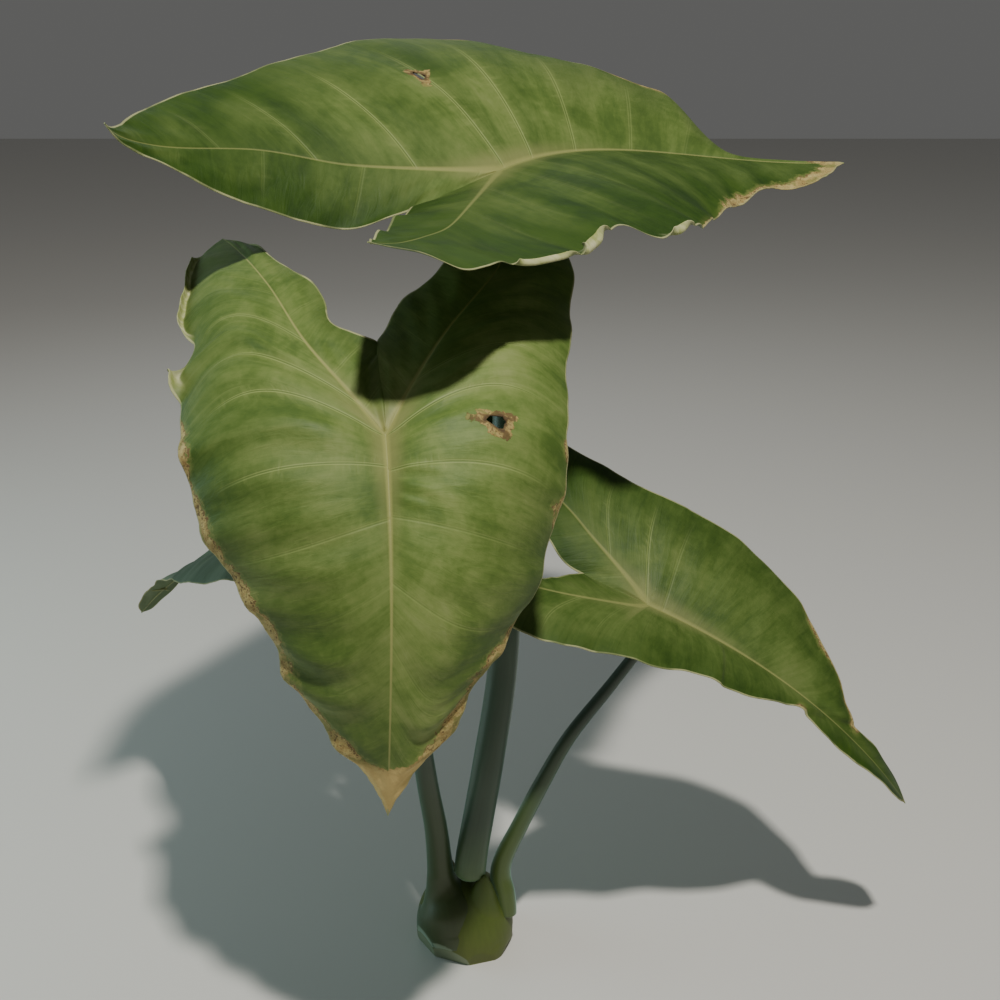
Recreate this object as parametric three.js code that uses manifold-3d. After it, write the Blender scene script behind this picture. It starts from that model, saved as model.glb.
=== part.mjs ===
// Taro plant: a cut corm that stands on its flat base, four petioles and four arrow-shaped blades.
// Millimetres, +Z up, origin at the centre of the corm's flat base. -Y is the side that faces the viewer.
import * as THREE from 'three';
import { mergeVertices } from 'three/addons/utils/BufferGeometryUtils.js';
import Module from 'manifold-3d';

const wasm = await Module();
wasm.setup();

// Blade
const BLADE_LENGTH = 360; // junction to tip of a blade of size 1
const BLADE_THICKNESS = 1.2;
const CREASE_SOFTNESS = 15; // width over which the two lobes part into their own bends
const MIDRIB_DEPTH = 9; // how far the midrib stands below the blade at the junction
const COSTA_DEPTH = 6; // the same for the main vein of a lobe
const VEIN_TIP_DEPTH = 0.6;
const HUB_DEPTH = 11; // where the three main veins meet over the petiole
const FIRST_LATERAL_END = -25; // how far back the first side vein meets the margin
const FORWARD_VEINS = 6.5; // side veins of the midrib, counted along one margin
const LOBE_VEINS = 4.75; // side veins of one costa
const VEIN_CROWDING = 1.35; // above 1 the side veins start closer together near the junction
const PILLOW_HEIGHT = 3.2; // rise of the tissue between two side veins
const RUFFLE_HEIGHT = 4.5; // wave of the margin
const RUFFLE_VEINS = 1.3; // length of one wave, in side veins
const FORWARD_ROWS = 22;
const LOBE_ROWS = 15;
const OUTER_COLUMNS = [0, 0.07, 0.3, 0.55, 0.78, 1];
const INNER_COLUMNS = [0, 0.4, 1];
const SINUS_ROWS = 2;

// Petioles and corm
const PETIOLE_SIDES = 12;
const PETIOLE_ROWS = 26;
const GAP = 0.55; // clearance between pieces that touch
const SMALLEST_EDGE = 0.06; // shorter edges that a cut leaves are closed up
const CORM_SIDES = 28;
const CORM_GROOVES = 5; // edges of old leaf sheaths round the corm
const CORM_GROOVE_DEPTH = 1.6;
const SHEATH_SIDES = 18;

// Outlines of a blade at size 1, seen from above with the tip away from the stalk. Each point is
// [distance along the midrib towards the tip, distance across], with the junction at the origin.
// outer runs from the tip of the lobe along the margin to the tip of the blade, inner from the sinus
// to the tip of the lobe, and costa from the junction to the tip of the lobe.
const FRONT_OUTLINE = {
  left: {
    outer: [[-340, -150], [-333, -172], [-300, -184], [-240, -190], [-179, -190], [-137, -176], [-98, -193],
      [-24, -189], [39, -183], [105, -167], [171, -127], [262, -90], [318, -30], [366, 0]],
    inner: [[-55, 0], [-104, -4], [-113, -26], [-130, -43], [-168, -48], [-216, -77], [-280, -112], [-340, -150]],
    costa: [[0, 0], [-31, -25], [-97, -66], [-190, -98], [-288, -132], [-340, -150]],
  },
  right: {
    outer: [[-318, 150], [-310, 177], [-286, 197], [-247, 207], [-186, 200], [-109, 188], [-57, 180], [-3, 177], [52, 171], [112, 158],
      [178, 136], [233, 88], [288, 60], [322, 25], [366, 0]],
    inner: [[-55, 0], [-106, 4], [-151, 25], [-197, 64], [-262, 106], [-318, 150]],
    costa: [[0, 0], [-31, 20], [-93, 58], [-187, 116], [-256, 138], [-318, 150]],
  },
};
const TOP_OUTLINE = {
  left: {
    outer: [[-325, -133], [-312, -156], [-286, -176], [-250, -184], [-193, -179], [-135, -191], [-87, -180],
      [-45, -169], [-25, -198], [15, -202], [80, -182], [150, -147], [222, -105], [275, -66], [310, -54],
      [338, -38], [352, 0]],
    inner: [[-92, 0], [-102, -12], [-116, -26], [-171, -55], [-250, -95], [-325, -133]],
    costa: [[0, 0], [-72, -41], [-150, -82], [-203, -98], [-270, -118], [-325, -133]],
  },
  right: {
    outer: [[-406, 134], [-340, 146], [-234, 179], [-136, 188], [-65, 196], [5, 206], [75, 214], [127, 196],
      [163, 160], [195, 126], [235, 90], [285, 54], [325, 26], [352, 0]],
    inner: [[-92, 0], [-112, 2], [-136, 4], [-173, 22], [-230, 63], [-304, 110], [-406, 134]],
    costa: [[0, 0], [-54, 24], [-123, 60], [-198, 106], [-300, 128], [-406, 134]],
  },
};
const RIGHT_OUTLINE = {
  left: {
    outer: [[-262, -118], [-225, -140], [-170, -146], [-117, -138], [-76, -132], [-20, -113], [12, -106],
      [53, -82], [89, -72], [130, -58], [179, -44], [240, -34], [303, -20], [350, 0]],
    inner: [[-76, 0], [-88, -20], [-104, -40], [-124, -62], [-190, -88], [-262, -118]],
    costa: [[0, 0], [-19, -22], [-69, -53], [-117, -75], [-190, -100], [-262, -118]],
  },
  right: {
    outer: [[-290, 110], [-270, 128], [-215, 138], [-150, 137], [-104, 135], [-43, 132], [17, 133], [68, 133],
      [139, 112], [187, 78], [240, 40], [303, 14], [350, 0]],
    inner: [[-76, 0], [-96, 2], [-120, 15], [-160, 46], [-220, 80], [-290, 110]],
    costa: [[0, 0], [-34, 19], [-83, 42], [-121, 60], [-200, 88], [-290, 110]],
  },
};
const BACK_OUTLINE = {
  left: {
    outer: [[-236, -112], [-220, -138], [-170, -156], [-100, -168], [-30, -168], [50, -156],
      [130, -118], [200, -66], [262, -32], [310, -18], [338, -12], [350, 0]],
    inner: [[-48, 0], [-86, -4], [-112, -30], [-150, -58], [-200, -90], [-236, -112]],
    costa: [[0, 0], [-40, -28], [-100, -62], [-160, -92], [-200, -105], [-236, -112]],
  },
  right: {
    outer: [[-244, 108], [-226, 136], [-175, 156], [-100, 170], [-30, 171], [50, 157],
      [130, 120], [200, 68], [262, 32], [310, 18], [338, 12], [350, 0]],
    inner: [[-48, 0], [-86, 4], [-114, 30], [-152, 58], [-204, 90], [-244, 108]],
    costa: [[0, 0], [-40, 28], [-100, 62], [-160, 90], [-205, 103], [-244, 108]],
  },
};

// How each blade hangs. junction is where the petiole meets it, heading the compass angle of the
// midrib there (0 is +X, 90 is +Y), climb its slope and roll the lift of the left half, in degrees.
// droop and droopMore bend the midrib down towards the tip, sweep bends it sideways, twist turns it.
// fold lifts both halves from the midrib into a V and arch bends them back down, each with a change
// towards the tip and towards the lobes, and a skew that differs between the halves.
// leftLobe and rightLobe bend the lobes behind the junction down, or up where negative, and
// rightTipDrop folds the right half down beside the tip.
const LEAVES = {
  front: {
    outline: FRONT_OUTLINE, size: 0.952, junction: [-54.2, -197, 639], heading: -82, climb: -36, roll: 2,
    droop: 100, droopMore: -24, sweep: -11, twist: -1, tipTwist: 0,
    fold: 31, foldTip: -55, foldLobe: -15, foldSkew: 0, foldSkewTip: -3, foldSkewLobe: -3,
    arch: -85, archTip: -10, archLobe: 42, archSkew: -6, archSkewTip: -1, archSkewLobe: 23,
    rightLobe: 22, rightLobeMore: 11, leftLobe: 31, leftLobeMore: -6, rightTipDrop: 0, rufflePhase: 0.3,
  },
  top: {
    outline: TOP_OUTLINE, size: 1.175, junction: [38, 137, 810], heading: 43, climb: 14, roll: 32,
    droop: 47, droopMore: -76, sweep: -59, twist: -7, tipTwist: 0,
    fold: 27, foldTip: -23, foldLobe: 22, foldSkew: -6, foldSkewTip: 1, foldSkewLobe: 18,
    arch: -31, archTip: 0, archLobe: -13, archSkew: -13, archSkewTip: 4, archSkewLobe: -25,
    rightLobe: 45, rightLobeMore: -76, leftLobe: -37, leftLobeMore: -1, rightTipDrop: 50, rufflePhase: 0.8,
  },
  right: {
    outline: RIGHT_OUTLINE, size: 1, junction: [190, 15, 392], heading: -10, climb: -22, roll: 22,
    droop: 25, droopMore: 10, sweep: -8, twist: 0, tipTwist: -50,
    fold: 30, foldTip: -30, foldLobe: 0, foldSkew: 0, foldSkewTip: 0, foldSkewLobe: 0,
    arch: -50, archTip: 0, archLobe: 0, archSkew: 0, archSkewTip: 0, archSkewLobe: 0,
    rightLobe: -15, rightLobeMore: 0, leftLobe: -15, leftLobeMore: 0, rightTipDrop: 0, rufflePhase: 0.1,
  },
  back: {
    outline: BACK_OUTLINE, size: 0.79, junction: [-178, 130, 422], heading: 153, climb: -13, roll: -4,
    droop: 32, droopMore: 6, sweep: 4, twist: 0, tipTwist: 46,
    fold: 28, foldTip: -20, foldLobe: 0, foldSkew: 0, foldSkewTip: 0, foldSkewLobe: 0,
    arch: -60, archTip: -10, archLobe: 0, archSkew: 0, archSkewTip: 0, archSkewLobe: 0,
    rightLobe: -16, rightLobeMore: -10, leftLobe: -16, leftLobeMore: -10, rightTipDrop: 0, rufflePhase: 0.6,
  },
};
const TIP_TWIST_START = 0.55; // part of the blade's length where the twist of the tip begins
const TIP_DROP_START = 0.5;
const TIP_DROP_END = 0.75;

// Centre lines of the petioles from the corm up, each point with the radius there.
// The last point is the junction of the blade.
const PETIOLES = {
  front: [[-14, -6, 17, 26], [-16, -7, 27, 38], [-17.5, -8, 38, 37], [-20, -10, 54, 30.5], [-22.5, -12, 70, 22],
    [-24.5, -14, 86, 15.6], [-25.5, -16, 104, 13.6], [-28.4, -26, 157, 12], [-36, -44, 227, 10.8],
    [-45, -82, 350, 9.6], [-52, -136, 490, 8.6], [-54.6, -180, 596, 8], [-54.2, -197, 639, 8]],
  top: [[4, -10, 80, 11], [5, -14, 87, 14.4], [6, -17, 97, 16.8], [7.4, -17, 110, 16.9], [9, -15, 124, 16.6],
    [27, -5, 228, 16], [40, 10, 314, 15.4], [45, 24, 400, 14.4], [44, 72, 560, 13], [40, 122, 720, 11.4],
    [38, 137, 812, 10.6]],
  right: [[45, -8, 29, 8.4], [46.5, -7, 44, 10.6], [45, -5, 64, 11.8], [42, -3, 84, 12], [45.5, -2, 106, 10.4],
    [58.7, 0, 141, 9], [84, 5, 194, 8.4], [112, 8, 247, 7.2], [156, 12, 308, 6.2], [183, 14, 350, 6],
    [190, 15, 392, 6]],
  back: [[-24, 24, 40, 7.5], [-28, 29, 62, 8.8], [-31, 32, 110, 8.8], [-41.4, 45, 173, 8.4],
    [-54.9, 60, 276, 8], [-84, 88, 360, 7.4], [-130, 118, 408, 7], [-178, 130, 422, 7]],
};

const PETIOLE_ORDER = ['top', 'right', 'front', 'back'];

// Radius of the corm at each height, and the leaf sheaths that wrap up from it, as round sections
// with centre x, y, z and radius.
const CORM_PROFILE = [[0, 45], [4, 48.5], [12, 51.5], [26, 52.5], [42, 49.5], [56, 43.5], [68, 34], [78, 22],
  [84, 9]];
const SHEATHS = [
  [[14, -12, 14, 37], [17, -15, 40, 28], [19, -19, 64, 17], [21, -23, 82, 7], [21.5, -24, 90, 2.2]],
  [[-6, 14, 14, 36], [-12, 19, 36, 28], [-20, 25, 58, 18], [-26, 29, 76, 12], [-29, 31, 84, 10]],
];

const COLORS = {
  blade: [0.20, 0.33, 0.09],
  petiole: [0.13, 0.22, 0.09],
  corm: [0.24, 0.32, 0.10],
};

function material(name, roughness) {
  const [red, green, blue] = COLORS[name];
  return new THREE.MeshStandardMaterial({
    name,
    color: new THREE.Color().setRGB(red, green, blue),
    roughness,
    metalness: 0,
    side: THREE.DoubleSide,
  });
}

const radians = THREE.MathUtils.degToRad;

// Mean of a function over the stretch from 0 to end, at evenly spaced midpoints.
function averageOver(end, samples, evaluate) {
  const sums = [0, 0];
  for (let i = 0; i < samples; i += 1) {
    const values = evaluate((end * (i + 0.5)) / samples);
    sums[0] += values[0] / samples;
    sums[1] += values[1] / samples;
  }
  return sums;
}

// A flat point of the blade, u along the midrib and v across, bent to its place in the room.
function bendBlade(leaf, u, v) {
  const samples = 16;
  const side = v / Math.hypot(v, CREASE_SOFTNESS);
  const lobe = ((1 + side) * leaf.rightLobe + (1 - side) * leaf.leftLobe) / 2;
  const lobeMore = ((1 + side) * leaf.rightLobeMore + (1 - side) * leaf.leftLobeMore) / 2;
  const slope = (t) => {
    const tipPart = Math.max(t, 0) / BLADE_LENGTH;
    const lobePart = Math.max(-t, 0) / BLADE_LENGTH;
    return radians(-leaf.droop * tipPart - leaf.droopMore * tipPart ** 2
      + lobe * lobePart + lobeMore * lobePart ** 2);
  };
  const turn = (t) => radians((leaf.sweep * Math.max(t, 0)) / BLADE_LENGTH);
  const spineFlat = averageOver(u, samples, (t) => [
    Math.cos(slope(t)) * Math.cos(turn(t)),
    Math.cos(slope(t)) * Math.sin(turn(t)),
  ]);
  const spineRise = averageOver(u, samples, (t) => [Math.sin(slope(t)), 0]);
  const spine = new THREE.Vector3(spineFlat[0], spineFlat[1], spineRise[0]).multiplyScalar(u);

  const tipPart = Math.max(u, 0) / BLADE_LENGTH;
  const lobePart = Math.max(-u, 0) / BLADE_LENGTH;
  const dropRun = THREE.MathUtils.smoothstep(u / BLADE_LENGTH, TIP_DROP_START, TIP_DROP_END);
  const fold = leaf.fold + leaf.foldTip * tipPart + leaf.foldLobe * lobePart
    - Math.max(side, 0) * leaf.rightTipDrop * dropRun
    + side * (leaf.foldSkew + leaf.foldSkewTip * tipPart + leaf.foldSkewLobe * lobePart);
  const arch = leaf.arch + leaf.archTip * tipPart + leaf.archLobe * lobePart
    + side * (leaf.archSkew + leaf.archSkewTip * tipPart + leaf.archSkewLobe * lobePart);
  const archWidth = 200; // arch is the bend of a half over this distance from the midrib
  const halfWidth = Math.abs(v);
  const section = averageOver(halfWidth, samples, (a) => {
    const angle = radians(fold + (arch * a) / archWidth);
    return [Math.cos(angle), Math.sin(angle)];
  });
  const across = Math.sign(v) * section[0] * halfWidth;
  const up = section[1] * halfWidth;
  const tipRun = THREE.MathUtils.smoothstep(u / BLADE_LENGTH, TIP_TWIST_START, 1);
  const twist = radians((leaf.twist * u) / BLADE_LENGTH + leaf.tipTwist * tipRun);
  const twistedAcross = across * Math.cos(twist) - up * Math.sin(twist);
  const twistedUp = across * Math.sin(twist) + up * Math.cos(twist);

  const pitch = slope(u);
  const yaw = turn(u);
  const along = new THREE.Vector3(Math.cos(pitch) * Math.cos(yaw), Math.cos(pitch) * Math.sin(yaw), Math.sin(pitch));
  const sideways = new THREE.Vector3(-Math.sin(yaw), Math.cos(yaw), 0);
  const upwards = new THREE.Vector3().crossVectors(along, sideways);
  const point = spine.addScaledVector(sideways, twistedAcross).addScaledVector(upwards, twistedUp);
  return point.multiplyScalar(leaf.size).applyMatrix4(leafPlace(leaf));
}

function leafPlace(leaf) {
  const place = new THREE.Matrix4().makeTranslation(...leaf.junction);
  place.multiply(new THREE.Matrix4().makeRotationZ(radians(leaf.heading)));
  place.multiply(new THREE.Matrix4().makeRotationY(-radians(leaf.climb)));
  place.multiply(new THREE.Matrix4().makeRotationX(radians(leaf.roll)));
  return place;
}

function bladeNormal(leaf, u, v) {
  const step = 2;
  const ahead = bendBlade(leaf, u + step, v).sub(bendBlade(leaf, u - step, v));
  const leftwards = bendBlade(leaf, u, v + step).sub(bendBlade(leaf, u, v - step));
  return ahead.cross(leftwards).normalize();
}

function curveThrough(points) {
  const curve = new THREE.SplineCurve(points.map(([u, v]) => new THREE.Vector2(u, v)));
  curve.arcLengthDivisions = 400;
  return curve;
}

// Part of the outer margin's length at which it first passes the end of the first side vein.
function firstVeinFraction(margin) {
  const steps = 400;
  for (let i = 0; i <= steps; i += 1) {
    if (margin.getPointAt(i / steps).x > FIRST_LATERAL_END) {
      return i / steps;
    }
  }
  return 0.5;
}

// One half of the blade as flat cells. A row runs from the main vein to the margin, like a side vein.
// Each node holds its flat place, its count of side veins, how near it is to the margin and how deep
// the vein stands below it.
function halfRows(half) {
  const margin = curveThrough(half.outer);
  const inner = curveThrough(half.inner);
  const costa = curveThrough(half.costa);
  const tip = half.outer[half.outer.length - 1];
  const split = firstVeinFraction(margin);
  const outerRows = [];
  const innerRows = [];
  const node = (from, to, t, phase, depth) => ({
    u: from.x + (to.x - from.x) * t,
    v: from.y + (to.y - from.y) * t,
    phase,
    edge: t,
    fade: Math.min(1, 5 * (1 - Math.abs(phase) / (phase < 0 ? LOBE_VEINS : FORWARD_VEINS))),
    depth: t === 0 ? depth : 0,
  });
  for (let i = LOBE_ROWS; i >= 0; i -= 1) {
    const f = i / LOBE_ROWS;
    const from = costa.getPointAt(f);
    const to = margin.getPointAt(split * (1 - f));
    const depth = i === 0 ? HUB_DEPTH : COSTA_DEPTH + (VEIN_TIP_DEPTH - COSTA_DEPTH) * f;
    outerRows.push(OUTER_COLUMNS.map((t) => node(from, to, t, -f * LOBE_VEINS, depth)));
    if (i > 0) {
      const behind = i <= SINUS_ROWS
        ? new THREE.Vector2((half.inner[0][0] * i) / SINUS_ROWS, 0)
        : inner.getPointAt((i - SINUS_ROWS) / (LOBE_ROWS - SINUS_ROWS));
      innerRows.push(INNER_COLUMNS.map((t) => node(from, behind, t, -f * LOBE_VEINS, depth)));
    } else {
      innerRows.push(INNER_COLUMNS.map(() => node(from, from, 0, 0, depth)));
    }
  }
  for (let i = 1; i <= FORWARD_ROWS; i += 1) {
    const f = i / FORWARD_ROWS;
    const from = new THREE.Vector2(tip[0] * f ** VEIN_CROWDING, 0);
    const to = margin.getPointAt(split + (1 - split) * f);
    const depth = MIDRIB_DEPTH + (VEIN_TIP_DEPTH - MIDRIB_DEPTH) * f;
    outerRows.push(OUTER_COLUMNS.map((t) => node(from, to, t, f * FORWARD_VEINS, depth)));
  }
  return { outerRows, innerRows };
}

// Height of the tissue above the smooth blade: pillows between the side veins and a waved margin.
function relief(leaf, node, sideSign) {
  const pillow = PILLOW_HEIGHT * Math.sin(Math.PI * node.phase) ** 2 * 4 * node.edge * (1 - node.edge);
  const wave = Math.sin((2 * Math.PI * node.phase) / RUFFLE_VEINS + 2 * Math.PI * leaf.rufflePhase + sideSign);
  return (pillow + RUFFLE_HEIGHT * wave * node.edge ** 3) * node.fade;
}

// A closed leaf blade: the same flat triangles on both faces, joined round the margin by a wall.
function bladeGeometry(leaf, swelling) {
  const nodes = [];
  const known = new Map();
  const indexOf = (node, sideSign) => {
    const key = `${Math.round(node.u * 50)},${Math.round(node.v * 50)}`;
    if (!known.has(key)) {
      known.set(key, nodes.length);
      nodes.push({ ...node, sideSign });
    }
    return known.get(key);
  };
  const faces = [];
  const addFace = (a, b, c) => {
    if (a !== b && b !== c && c !== a) {
      faces.push([a, b, c]);
    }
  };
  const addRows = (rows, sideSign, flip) => {
    const grid = rows.map((row) => row.map((node) => indexOf(node, sideSign)));
    for (let i = 0; i + 1 < grid.length; i += 1) {
      for (let j = 0; j + 1 < grid[i].length; j += 1) {
        const corners = [grid[i][j], grid[i + 1][j], grid[i + 1][j + 1], grid[i][j + 1]];
        if (flip) {
          corners.reverse();
        }
        addFace(corners[0], corners[1], corners[2]);
        addFace(corners[0], corners[2], corners[3]);
      }
    }
  };
  for (const [name, sideSign] of [['left', -1], ['right', 1]]) {
    const { outerRows, innerRows } = halfRows(leaf.outline[name]);
    addRows(outerRows, sideSign, sideSign < 0);
    addRows(innerRows, sideSign, sideSign > 0);
  }

  const upper = [];
  const lower = [];
  for (const node of nodes) {
    const normal = bladeNormal(leaf, node.u, node.v);
    const middle = bendBlade(leaf, node.u, node.v).addScaledVector(normal, relief(leaf, node, node.sideSign));
    upper.push(middle.clone().addScaledVector(normal, BLADE_THICKNESS / 2 + swelling));
    lower.push(middle.clone().addScaledVector(normal, -BLADE_THICKNESS / 2 - swelling - node.depth * leaf.size));
  }
  const points = [...upper, ...lower];
  const count = nodes.length;
  const triangles = [];
  const edges = new Map();
  for (const [a, b, c] of faces) {
    triangles.push(a, b, c);
    triangles.push(c + count, b + count, a + count);
    for (const [from, to] of [[a, b], [b, c], [c, a]]) {
      edges.set(`${from},${to}`, [from, to]);
    }
  }
  for (const [from, to] of edges.values()) {
    if (!edges.has(`${to},${from}`)) {
      triangles.push(from, from + count, to + count);
      triangles.push(from, to + count, to);
    }
  }
  return geometryFrom(points, triangles);
}

function geometryFrom(points, triangles) {
  const geometry = new THREE.BufferGeometry().setFromPoints(points);
  geometry.setIndex(triangles);
  return geometry;
}

// A round stalk through sections of centre and radius, closed by a blunt end at each side.
function stalkGeometry(sections, sides, rows, swelling) {
  const path = new THREE.CatmullRomCurve3(
    sections.map(([x, y, z]) => new THREE.Vector3(x, y, z)),
    false,
    'catmullrom',
    0.5,
  );
  const radiusAt = (t) => {
    const place = t * (sections.length - 1);
    const i = Math.min(Math.floor(place), sections.length - 2);
    return THREE.MathUtils.lerp(sections[i][3], sections[i + 1][3], place - i) + swelling;
  };
  const points = [];
  const triangles = [];
  const bluntness = 0.55; // radius of the end face, as part of the stalk's radius
  const rings = [{ t: 0, scale: bluntness }];
  for (let i = 0; i <= rows; i += 1) {
    rings.push({ t: i / rows, scale: 1 });
  }
  const first = path.getPoint(0);
  const setBack = path.getTangent(0).multiplyScalar(-sections[0][3] * 0.35 - swelling);
  rings.forEach((ring, index) => {
    const centre = path.getPoint(ring.t);
    if (index === 0) {
      centre.copy(first).add(setBack);
    }
    const along = path.getTangent(ring.t).normalize();
    const across = new THREE.Vector3(0, 1, 0).cross(along).normalize();
    const third = new THREE.Vector3().crossVectors(along, across);
    const radius = radiusAt(ring.t) * ring.scale;
    for (let k = 0; k < sides; k += 1) {
      const angle = (2 * Math.PI * k) / sides;
      points.push(centre.clone()
        .addScaledVector(across, radius * Math.cos(angle))
        .addScaledVector(third, radius * Math.sin(angle)));
    }
  });
  for (let i = 0; i + 1 < rings.length; i += 1) {
    for (let k = 0; k < sides; k += 1) {
      const next = (k + 1) % sides;
      const a = i * sides + k;
      const b = i * sides + next;
      triangles.push(a, b, b + sides);
      triangles.push(a, b + sides, a + sides);
    }
  }
  const bottom = points.length;
  points.push(first.clone().add(setBack));
  const top = points.length;
  points.push(path.getPoint(1));
  const lastRing = (rings.length - 1) * sides;
  for (let k = 0; k < sides; k += 1) {
    const next = (k + 1) % sides;
    triangles.push(bottom, next, k);
    triangles.push(top, lastRing + k, lastRing + next);
  }
  return geometryFrom(points, triangles);
}

// The corm's own body, round and flat below, with shallow steps where old sheaths came away.
function cormBodyGeometry() {
  const points = [];
  const triangles = [];
  for (const [z, radius] of CORM_PROFILE) {
    for (let k = 0; k < CORM_SIDES; k += 1) {
      const angle = (2 * Math.PI * k) / CORM_SIDES;
      const groove = CORM_GROOVE_DEPTH * Math.max(0, Math.cos(CORM_GROOVES * angle + z / 30)) * (z / 88);
      points.push(new THREE.Vector3((radius - groove) * Math.cos(angle), (radius - groove) * Math.sin(angle), z));
    }
  }
  for (let i = 0; i + 1 < CORM_PROFILE.length; i += 1) {
    for (let k = 0; k < CORM_SIDES; k += 1) {
      const a = i * CORM_SIDES + k;
      const b = i * CORM_SIDES + ((k + 1) % CORM_SIDES);
      triangles.push(a, b, b + CORM_SIDES);
      triangles.push(a, b + CORM_SIDES, a + CORM_SIDES);
    }
  }
  const bottom = points.length;
  points.push(new THREE.Vector3(0, 0, 0));
  const top = points.length;
  points.push(new THREE.Vector3(0, 0, CORM_PROFILE[CORM_PROFILE.length - 1][0]));
  const lastRing = (CORM_PROFILE.length - 1) * CORM_SIDES;
  for (let k = 0; k < CORM_SIDES; k += 1) {
    const next = (k + 1) % CORM_SIDES;
    triangles.push(bottom, next, k);
    triangles.push(top, lastRing + k, lastRing + next);
  }
  return geometryFrom(points, triangles);
}

function toSolid(geometry) {
  const bare = new THREE.BufferGeometry();
  bare.setAttribute('position', geometry.getAttribute('position').clone());
  bare.setIndex(geometry.getIndex().clone());
  const merged = mergeVertices(bare, 1e-4);
  return new wasm.Manifold(new wasm.Mesh({
    numProp: 3,
    vertProperties: new Float32Array(merged.getAttribute('position').array),
    triVerts: new Uint32Array(merged.getIndex().array),
  }));
}

function toGeometry(solid) {
  const mesh = solid.simplify(SMALLEST_EDGE).getMesh();
  const geometry = new THREE.BufferGeometry();
  geometry.setAttribute('position', new THREE.BufferAttribute(new Float32Array(mesh.vertProperties), 3));
  geometry.setIndex(new THREE.BufferAttribute(new Uint32Array(mesh.triVerts), 1));
  return geometry;
}

function largestPiece(solid) {
  const pieces = solid.decompose();
  return pieces.reduce((best, piece) => (piece.volume() > best.volume() ? piece : best));
}

function petioleSolid(name, swelling) {
  return toSolid(stalkGeometry(PETIOLES[name], PETIOLE_SIDES, PETIOLE_ROWS, swelling));
}

// The petiole's top ends against the underside of the blade's hub, and its foot is pressed flat
// against the feet that stood there before it, each with the gap between.
function petioleGeometry(name) {
  let solid = petioleSolid(name, 0).subtract(toSolid(bladeGeometry(LEAVES[name], 3 * GAP)));
  for (const earlier of PETIOLE_ORDER.slice(0, PETIOLE_ORDER.indexOf(name))) {
    solid = solid.subtract(petioleSolid(earlier, GAP));
  }
  return toGeometry(largestPiece(solid));
}

// The corm with its sheaths, and a socket for the foot of each petiole.
function cormGeometry() {
  let solid = toSolid(cormBodyGeometry());
  for (const sections of SHEATHS) {
    solid = solid.add(toSolid(stalkGeometry(sections, SHEATH_SIDES, 2 * sections.length, 0)));
  }
  for (const name of Object.keys(PETIOLES)) {
    solid = solid.subtract(petioleSolid(name, GAP));
  }
  const cutFlat = solid.trimByPlane([0, 0, 1], 0);
  return toGeometry(largestPiece(cutFlat));
}

function namedMesh(name, geometry, meshMaterial) {
  const mesh = new THREE.Mesh(geometry, meshMaterial);
  mesh.name = name;
  return mesh;
}

const plant = new THREE.Group();
plant.add(namedMesh('corm', cormGeometry(), material('corm', 0.5)));
for (const name of Object.keys(LEAVES)) {
  plant.add(namedMesh(`petiole_${name}`, petioleGeometry(name), material('petiole', 0.4)));
  plant.add(namedMesh(`blade_${name}`, bladeGeometry(LEAVES[name], 0), material('blade', 0.42)));
}

export default plant;
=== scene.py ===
import math
import bpy
import numpy as np
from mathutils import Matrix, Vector


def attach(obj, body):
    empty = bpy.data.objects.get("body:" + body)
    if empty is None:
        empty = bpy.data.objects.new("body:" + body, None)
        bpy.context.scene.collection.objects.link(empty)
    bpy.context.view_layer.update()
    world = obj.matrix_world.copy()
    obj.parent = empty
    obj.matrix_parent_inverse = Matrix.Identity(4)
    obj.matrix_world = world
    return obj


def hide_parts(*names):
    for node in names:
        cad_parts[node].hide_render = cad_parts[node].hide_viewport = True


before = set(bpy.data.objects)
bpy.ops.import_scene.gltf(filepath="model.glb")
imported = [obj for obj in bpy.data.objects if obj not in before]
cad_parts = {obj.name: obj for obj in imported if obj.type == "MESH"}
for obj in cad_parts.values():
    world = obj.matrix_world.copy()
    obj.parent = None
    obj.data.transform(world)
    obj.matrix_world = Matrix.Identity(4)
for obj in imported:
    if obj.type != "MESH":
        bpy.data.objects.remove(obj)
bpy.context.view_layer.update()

# Camera. It looks 20 degrees down on the plant from a little right of the corm, as the photograph
# does, through a 50 mm lens.
CAMERA_PLACE = (0.0385, -1.2715, 0.9743)
CAMERA_TILT = 70
camera = bpy.data.objects.new("camera", bpy.data.cameras.new("camera"))
camera.data.lens = 50
camera.data.sensor_width = 36
camera.location = CAMERA_PLACE
camera.rotation_euler = (math.radians(CAMERA_TILT), 0, 0)
bpy.context.collection.objects.link(camera)
bpy.context.scene.camera = camera


# Floor and studio light. A plain pale sheet under the plant, a soft key light high in front, a wide
# cool fill on the left and a weak cool light from behind.
def put_node(tree, kind, out=0, settings=None, **inputs):
    """Adds one node. An input is given by its number, as i0, or by its name."""
    node = tree.nodes.new(kind)
    for key, value in (settings or {}).items():
        setattr(node, key, value)
    for key, value in inputs.items():
        value = value.socket if isinstance(value, Value) else value
        numbered = key[0] == "i" and key[1:].isdigit()
        socket = node.inputs[int(key[1:])] if numbered else node.inputs[key.replace("_", " ")]
        if isinstance(value, bpy.types.NodeSocket):
            tree.links.new(value, socket)
        else:
            socket.default_value = value
    return node.outputs[out]


class Value:
    """What comes out of a node of a finish. Sums and products of values are nodes too."""

    def __init__(self, finish, socket):
        self.finish = finish
        self.socket = socket

    def __add__(self, other):
        return self.finish.math("ADD", self, other)

    def __sub__(self, other):
        return self.finish.math("SUBTRACT", self, other)

    def __rsub__(self, other):
        return self.finish.math("SUBTRACT", other, self)

    def __mul__(self, other):
        return self.finish.math("MULTIPLY", self, other)

    def __truediv__(self, other):
        return self.finish.math("DIVIDE", self, other)


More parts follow.
